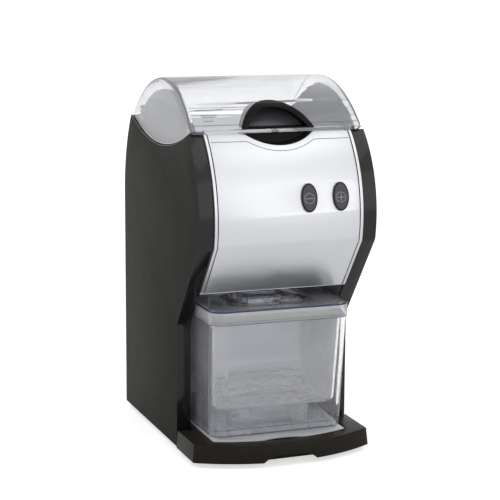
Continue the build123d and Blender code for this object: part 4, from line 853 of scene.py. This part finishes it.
# ---------------------------------------------------------------- hopper
@dataclass
class Hopper:
    """The stainless funnel, its domed ends and the hinge."""

    def build(self) -> None:
        """Builds the hopper's pieces."""
        funnel = rounded_copy("hopper_funnel", "funnel", 0.4 * MM, 1)
        dressed(funnel, HOPPER_STEEL, Body.MACHINE)
        for side in ("right", "left"):
            end = rounded_copy(f"hopper_end_{side}", f"dome_{side}", 0.6 * MM, 2)
            dressed(end, END_STEEL, Body.MACHINE)
        for node, finish in {"hinge_pin": GROUND_STEEL, "hinge_brackets": INNER_BLACK}.items():
            paint_node(node, finish)
        LOG.info("hopper dressed")


# ---------------------------------------------------------------- lid
@dataclass
class Lid:
    """The clear domed lid with its grip, magnet and moulded lines."""

    line_rows: tuple[tuple[float, float, float], ...] = (
        (-99.0, -63.0, 431.6), (-94.0, -74.0, 425.5), (-93.0, -76.0, 423.7), (-92.0, -79.0, 419.5))
    line_radius: float = 0.5 * MM
    dome_centre: tuple[float, float] = (12.0 * MM, 304.35 * MM)
    dome_radius: float = 160.15 * MM
    base_z: float = 409.0 * MM
    front_y: float = -109.5 * MM
    back_y: float = 133.0 * MM
    low_point: tuple[float, float] = (8.0 * MM, 382.5 * MM)
    half_width: float = 113.0 * MM
    top_half_width: float = 108.5 * MM
    top: tuple[float, float] = (12.0 * MM, 464.5 * MM)
    wall: float = 2.5 * MM
    edge_sink: float = 1.3 * MM
    end_from: float = 102.0 * MM
    row_steps: int = 8
    roof_steps: int = 64
    roof_wire: float = 0.42 * MM
    lip_steps: int = 48
    lip_wire: float = 0.75 * MM
    hem_steps: int = 16
    hem_z: float = 414.7 * MM
    hem_from: float = 45.0 * MM
    hem_wire: float = 0.45 * MM
    grip_back_sink: float = 11.0 * MM

    def on_dome(self, x: float, z: float, lift: float) -> Vector:
        """Gives the point of the lid's front at height z.

        Args:
            x: the place across.
            z: the height.
            lift: how far the point stands off the lid.

        Returns:
            The point, in metres.
        """
        y0, z0 = self.dome_centre
        return Vector((x, y0 - math.sqrt((self.dome_radius + lift) ** 2 - (z - z0) ** 2), z))

    def moulded_lines(self) -> None:
        """Lays the four short raised lines, each shorter than the one above, as dark tubes of painted shade.
        """
        for row, (start, end, height) in enumerate(self.line_rows):
            stretch = (end - start) / self.row_steps
            points = [self.on_dome((start + stretch * step) * MM, height * MM, -0.15 * MM)
                      for step in range(self.row_steps + 1)]
            line = line_tube(f"moulded_line_{row + 1}", points, self.line_radius)
            dressed(line, CLEAR_LINE_SHADE, Body.LID)

    def half_at(self, z: float) -> float:
        """Gives half the lid's width at height z, where its ends lean in."""
        share = (z - self.low_point[1]) / (self.top[1] - self.low_point[1])
        return self.half_width + (self.top_half_width - self.half_width) * share

    def straighten_ends(self, shell: bpy.types.Object) -> None:
        """Makes each end of the lid one leaning plane, from its low lip to the roof.

        Args:
            shell: the copied lid, whose ends start to lean only above its corners.
        """
        lean = self.half_width - self.top_half_width
        low_z, high_z = self.low_point[1], self.top[1]
        for vertex in shell.data.vertices:
            place = vertex.co
            if abs(place.x) > self.end_from:
                whole = (place.z - low_z) / (high_z - low_z)
                upper = max(0.0, (place.z - self.base_z) / (high_z - self.base_z))
                place.x -= math.copysign(lean * (whole - upper), place.x)
        alone(shell)
        bpy.ops.mesh.customdata_custom_splitnormals_clear()
        bpy.ops.object.mode_set(mode="EDIT")
        bpy.ops.mesh.select_all(action="SELECT")
        bpy.ops.mesh.dissolve_limited(angle_limit=math.radians(1.0))
        bpy.ops.object.mode_set(mode="OBJECT")
        smooth(shell)

    def edge_lines(self) -> None:
        """Lays the double line of painted shade where the roof meets each end, and the pale lip of painted
        highlight under each end.
        """
        roof = ((self.front_y, self.base_z), self.top, (self.back_y, self.base_z))
        lower = (roof[0], self.low_point, roof[2])
        for side, name in ((-1, "left"), (1, "right")):
            for line_name, sink in (("outer", self.edge_sink), ("inner", self.wall)):
                arc = three_point_arc(*roof, self.roof_steps, -sink)
                points = [Vector((side * (self.half_at(z) - sink), y, z)) for y, z in arc if z > self.base_z]
                line = line_tube(f"lid_{line_name}_edge_{name}", points, self.roof_wire)
                dressed(line, CLEAR_LINE_SHADE, Body.LID)
            # The pale tube under each end is a painted highlight.
            arc = three_point_arc(*lower, self.lip_steps)
            points = [Vector((side * (self.half_at(z) - 0.8 * MM), y, z + 0.5 * MM)) for y, z in arc[1:-1]]
            lip = line_tube(f"lid_end_lip_highlight_{name}", points, self.lip_wire)
            dressed(lip, CLEAR_LIP_HIGHLIGHT, Body.LID)

    def hem_lines(self) -> None:
        """Lays a line of painted shade along the moulded line at the foot of the lid's front, left and right
        of the grip.
        """
        for side, name in ((-1, "left"), (1, "right")):
            reach = self.half_at(self.hem_z) - 3 * MM
            points = [self.on_dome(side * (self.hem_from + (reach - self.hem_from) * step / self.hem_steps),
                                   self.hem_z, -0.2 * MM) for step in range(self.hem_steps + 1)]
            line = line_tube(f"lid_hem_line_{name}", points, self.hem_wire)
            dressed(line, CLEAR_LINE_SHADE, Body.LID)

    def grip(self) -> None:
        """Dresses the grip: a glossy black rim round a paler sunk back, whose grey is partly painted
        reflection of a lamp.
        """
        piece = rounded_copy("lid_grip", "grip", 0.8 * MM, 3)
        piece.data.materials.append(GRIP_BLACK.material())
        piece.data.materials.append(GRIP_GREY_AND_REFLECTION.material())
        y0, z0 = self.dome_centre
        for face in piece.data.polygons:
            reach = math.hypot(face.center.y - y0, face.center.z - z0)
            outward = Vector((0, face.center.y - y0, face.center.z - z0)).normalized()
            if reach < self.dome_radius - self.grip_back_sink and face.normal.dot(outward) > 0.8:
                face.material_index = 1
        dressed(piece, GRIP_BLACK, Body.LID)

    def build(self) -> None:
        """Builds the lid's pieces."""
        shell = rounded_copy("lid_shell", "lid_dome", 0.0)
        self.straighten_ends(shell)
        dressed(shell, LID_CLEAR, Body.LID)
        self.moulded_lines()
        self.edge_lines()
        self.hem_lines()
        self.grip()
        paint_node("lid_magnet", INNER_BLACK)
        LOG.info("lid dressed")


# ---------------------------------------------------------------- buttons
@dataclass
class Buttons:
    """The stop and start buttons with their bezels, switches and symbols."""

    centre_z: float = 329.0 * MM
    centre_x: tuple[float, float] = (25.0 * MM, 66.3 * MM)
    dish_floor: float = 1.2 * MM
    dish_radius: float = 60.0 * MM
    ring_radius: float = 6.0 * MM
    ring_wire: float = 0.48 * MM
    outer_radius: float = 7.4 * MM
    outer_wire: float = 0.22 * MM
    outer_turns: tuple[float, float] = (0.24, 0.62)
    outer_steps: int = 18
    ring_steps: int = 44
    bar_weight: float = 1.6
    bar_half: float = 4.4 * MM
    symbol_drop: float = 1.1 * MM

    def on_face(self, frame: Matrix, u: float, v: float) -> Vector:
        """Gives a point on a button's hollow face.

        Args:
            frame: the button's own frame.
            u: the place across.
            v: the place up.

        Returns:
            The point, in metres.
        """
        rise = self.dish_radius - math.sqrt(self.dish_radius ** 2 - u * u - v * v)
        return frame @ Vector((u, v, self.dish_floor + rise))

    def symbol(self, x: float, name: str, body: Body, upright: bool) -> None:
        """Draws a ring with a bar, and a second upright bar for start, with a painted highlight bow on the
        ring's upper left.

        Args:
            x: the button's place across.
            name: the piece's name.
            body: the button's body.
            upright: True for a plus, False for a minus.
        """
        frame = COVER_FACE.frame(x, self.centre_z)

        def bow(radius: float, start: float, end: float, steps: int) -> list[Vector]:
            """Gives points on a bow round the symbol's centre, its angles in turns."""
            angles = [math.tau * (start + (end - start) * k / steps) for k in range(steps + 1)]
            return [self.on_face(frame, radius * math.cos(a), radius * math.sin(a) - self.symbol_drop)
                    for a in angles]

        ring = bow(self.ring_radius, 0, 1, self.ring_steps)[:-1]
        # Painted highlight: the grey bow outside the ring's upper left stands for light on the raised ring's
        # rim.
        outer = bow(self.outer_radius, *self.outer_turns, self.outer_steps)
        pieces = [line_tube(f"{name}_ring", ring, self.ring_wire, closed=True),
                  line_tube(f"{name}_outer_bow", outer, self.outer_wire)]
        bars = [(1, 0)] + ([(0, 1)] if upright else [])
        for index, (across, up) in enumerate(bars):
            ends = [self.on_face(frame, across * self.bar_half * k / 3,
                                 up * self.bar_half * k / 3 - self.symbol_drop) for k in range(-3, 4)]
            pieces.append(line_tube(f"{name}_bar_{index + 1}", ends, self.ring_wire * self.bar_weight))
        for piece in pieces:
            dressed(piece, SYMBOL_AND_HIGHLIGHT_GREY, body)

    def build(self) -> None:
        """Builds the buttons."""
        for node, body in (("stop_button", Body.STOP), ("start_button", Body.START)):
            piece = rounded_copy(node, node + "_cap", 0.5 * MM, 2)
            dressed(piece, BUTTON_BLACK, body)
        bezels = rounded_copy("button_bezels", "bezels", 0.3 * MM, 2)
        dressed(bezels, GLOSS_BLACK, Body.MACHINE)
        paint_node("button_switches", INNER_BLACK)
        self.symbol(self.centre_x[0], "stop_symbol", Body.STOP, upright=False)
        self.symbol(self.centre_x[1], "start_symbol", Body.START, upright=True)
        LOG.info("buttons dressed")


# ---------------------------------------------------------------- bin and tray
@dataclass
class IceBin:
    """The clear bin with its strainer basket and its cover."""

    half_width: float = 91.5 * MM
    front_y: float = -132.0 * MM
    back_y: float = 19.5 * MM
    corner: float = 17.0 * MM
    band_z: float = 174.0 * MM
    band_groove_z: float = 177.2 * MM
    foot_half_width: float = 88.0 * MM
    foot_front_y: float = -119.0 * MM
    foot_back_y: float = 12.0 * MM
    foot_z: float = 28.3 * MM
    wall: float = 2.6 * MM
    floor_line_z: float = 38.0 * MM
    edge_bead: float = 0.75 * MM

    def lines(self) -> None:
        """Lays the painted shade lines: a double line round the foot of the rim band and a dark line over the
        floor.
        """
        for name, z, inset, radius in (("band_line", self.band_z, 0.15 * MM, 0.42 * MM),
                                       ("band_groove_line", self.band_groove_z, 0.1 * MM, 0.25 * MM)):
            loop = rounded_loop(self.half_width - inset, self.front_y + inset, self.back_y - inset,
                                self.corner - inset, z)
            dressed(line_tube("bin_" + name, loop, radius, closed=True), BIN_LINE_SHADE, Body.BIN)
        share = (self.floor_line_z - self.foot_z) / (self.band_z - self.foot_z)
        front = self.foot_front_y + (self.front_y - self.foot_front_y) * share + self.wall
        back = self.foot_back_y + (self.back_y - self.foot_back_y) * share - self.wall
        half = self.foot_half_width + (self.half_width - self.foot_half_width) * share - self.wall
        loop = rounded_loop(half, front, back, self.corner - self.wall, self.floor_line_z)
        dressed(line_tube("bin_floor_line", loop, 0.4 * MM, closed=True), BIN_LINE_SHADE, Body.BIN)

    def faces_out(self, face: bpy.types.MeshPolygon) -> bool:
        """Tells if a face is on the outside of the bin's wall."""
        out_x = max(abs(face.center.x) - (self.half_width - self.corner), 0.0)
        out_y = max(abs(face.center.y - (self.front_y + self.back_y) / 2)
                    - ((self.back_y - self.front_y) / 2 - self.corner), 0.0)
        return math.hypot(out_x, out_y) > self.corner - 1.2 * MM and abs(face.normal.z) < 0.8

    def dress_collar(self, piece: bpy.types.Object) -> None:
        """Gives the outside of the bin's collar a hazier finish than the rest."""
        piece.data.materials.append(BIN_CLEAR.material())
        piece.data.materials.append(BIN_COLLAR.material())
        for face in piece.data.polygons:
            if face.center.z > self.band_z and self.faces_out(face):
                face.material_index = 1

    def cover(self) -> None:
        """Dresses the cover with a painted dark blue shade on its cut edge, and a bead of it round that edge.
        """
        piece = rounded_copy("bin_cover", "bin_lid", 0.35 * MM, 2)
        piece.data.materials.append(BIN_CLEAR.material())
        piece.data.materials.append(BIN_EDGE_SHADE.material())
        rim_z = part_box("ice_bin")[1].z
        for face in piece.data.polygons:
            if self.faces_out(face) and face.center.z > rim_z - 0.1 * MM:
                face.material_index = 1
        dressed(piece, BIN_CLEAR, Body.BIN)
        inset = self.edge_bead * 0.9
        loop = rounded_loop(self.half_width - inset, self.front_y + inset, self.back_y - inset,
                            self.corner - inset, rim_z + 0.4 * MM)
        bead = line_tube("bin_cover_edge", loop, self.edge_bead, closed=True)
        dressed(bead, BIN_EDGE_SHADE, Body.BIN)

    def build(self) -> None:
        """Builds the bin's pieces."""
        for node, name, width, finish in (("ice_bin", "bin", 0.8 * MM, BIN_CLEAR),
                                          ("bin_basket", "basket", 0.5 * MM, BASKET_CLEAR)):
            piece = rounded_copy(node, name, width, 2)
            if node == "ice_bin":
                self.dress_collar(piece)
            dressed(piece, finish, Body.BIN)
        self.cover()
        self.lines()
        LOG.info("bin dressed")


@dataclass
class DripTray:
    """The black drip tray and the grid; front_holes gives each hole's place and half sizes in mm."""

    front_holes: tuple[tuple[float, float, float, float], ...] = (
        (-24.7, -114.4, 2.8, 2.8), (46.0, -95.8, 8.5, 2.2), (-76.4, -38.6, 1.6, 2.2),
        (-75.7, -52.5, 1.6, 2.2), (-75.1, -67.2, 1.6, 2.2))
    punch_depth: float = 10.0 * MM

    def build(self) -> None:
        """Builds the tray's pieces and punches the extra drain holes."""
        tray = rounded_copy("drip_tray", "tray", 1.2 * MM, 3)
        dressed(tray, TRAY_BLACK, Body.TRAY)
        grid = rounded_copy("drip_grid", "grid", 0.4 * MM, 2)
        top_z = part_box("drip_grid")[1].z
        for x, y, half_x, half_y in self.front_holes:
            bpy.ops.mesh.primitive_cylinder_add(
                vertices=24, radius=1.0, depth=self.punch_depth, location=(x * MM, y * MM, top_z),
                scale=(half_x * MM, half_y * MM, 1.0))
            punch = bpy.context.object
            apply_modifier(grid, "BOOLEAN", operation="DIFFERENCE", object=punch)
            bpy.data.objects.remove(punch)
        dressed(grid, GRID_STEEL, Body.TRAY)
        LOG.info("tray dressed")


# ---------------------------------------------------------------- inner works
@dataclass
class InnerWorks:
    """The crushing drum, the motor, the belt drive and the chute."""

    finishes: dict[str, Finish] = field(default_factory=lambda: {
        "crushing_chamber": CAST_ALLOY, "fixed_comb": GROUND_STEEL, "bearing_housings": CAST_ALLOY,
        "housing_screws": GROUND_STEEL, "bearing_outer_rings": GROUND_STEEL, "shaft_seals": RUBBER_BLACK,
        "ice_chute": INNER_BLACK, "motor_housing": CAST_ALLOY, "motor_end_bells": CAST_ALLOY,
        "stator_core": DARK_STEEL, "stator_windings": WOUND_COPPER, "motor_cradle": SHEET_STEEL,
        "motor_bolts": GROUND_STEEL, "fan_cowl": INNER_BLACK, "drive_belt": RUBBER_BLACK,
        "rotor_shaft": GROUND_STEEL, "rotor_blades": GROUND_STEEL, "rotor_spacers": GROUND_STEEL,
        "rotor_bearing_inner_rings": GROUND_STEEL, "driven_pulley": CAST_ALLOY, "motor_shaft": GROUND_STEEL,
        "motor_rotor_core": DARK_STEEL, "motor_bearing_inner_rings": GROUND_STEEL, "cooling_fan": INNER_BLACK,
        "motor_pulley": CAST_ALLOY})

    def build(self) -> None:
        """Gives every inner solid its finish."""
        for node, finish in self.finishes.items():
            paint_node(node, finish)
        LOG.info("inner works dressed")


def main() -> None:
    """Loads the frame and builds every sub-assembly in order."""
    logging.basicConfig(level=logging.INFO, format="%(message)s")
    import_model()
    for part in (Studio(), Casing(), Hopper(), Lid(), Buttons(), IceBin(), DripTray(), InnerWorks()):
        part.build()


if __name__ == "__main__":
    main()
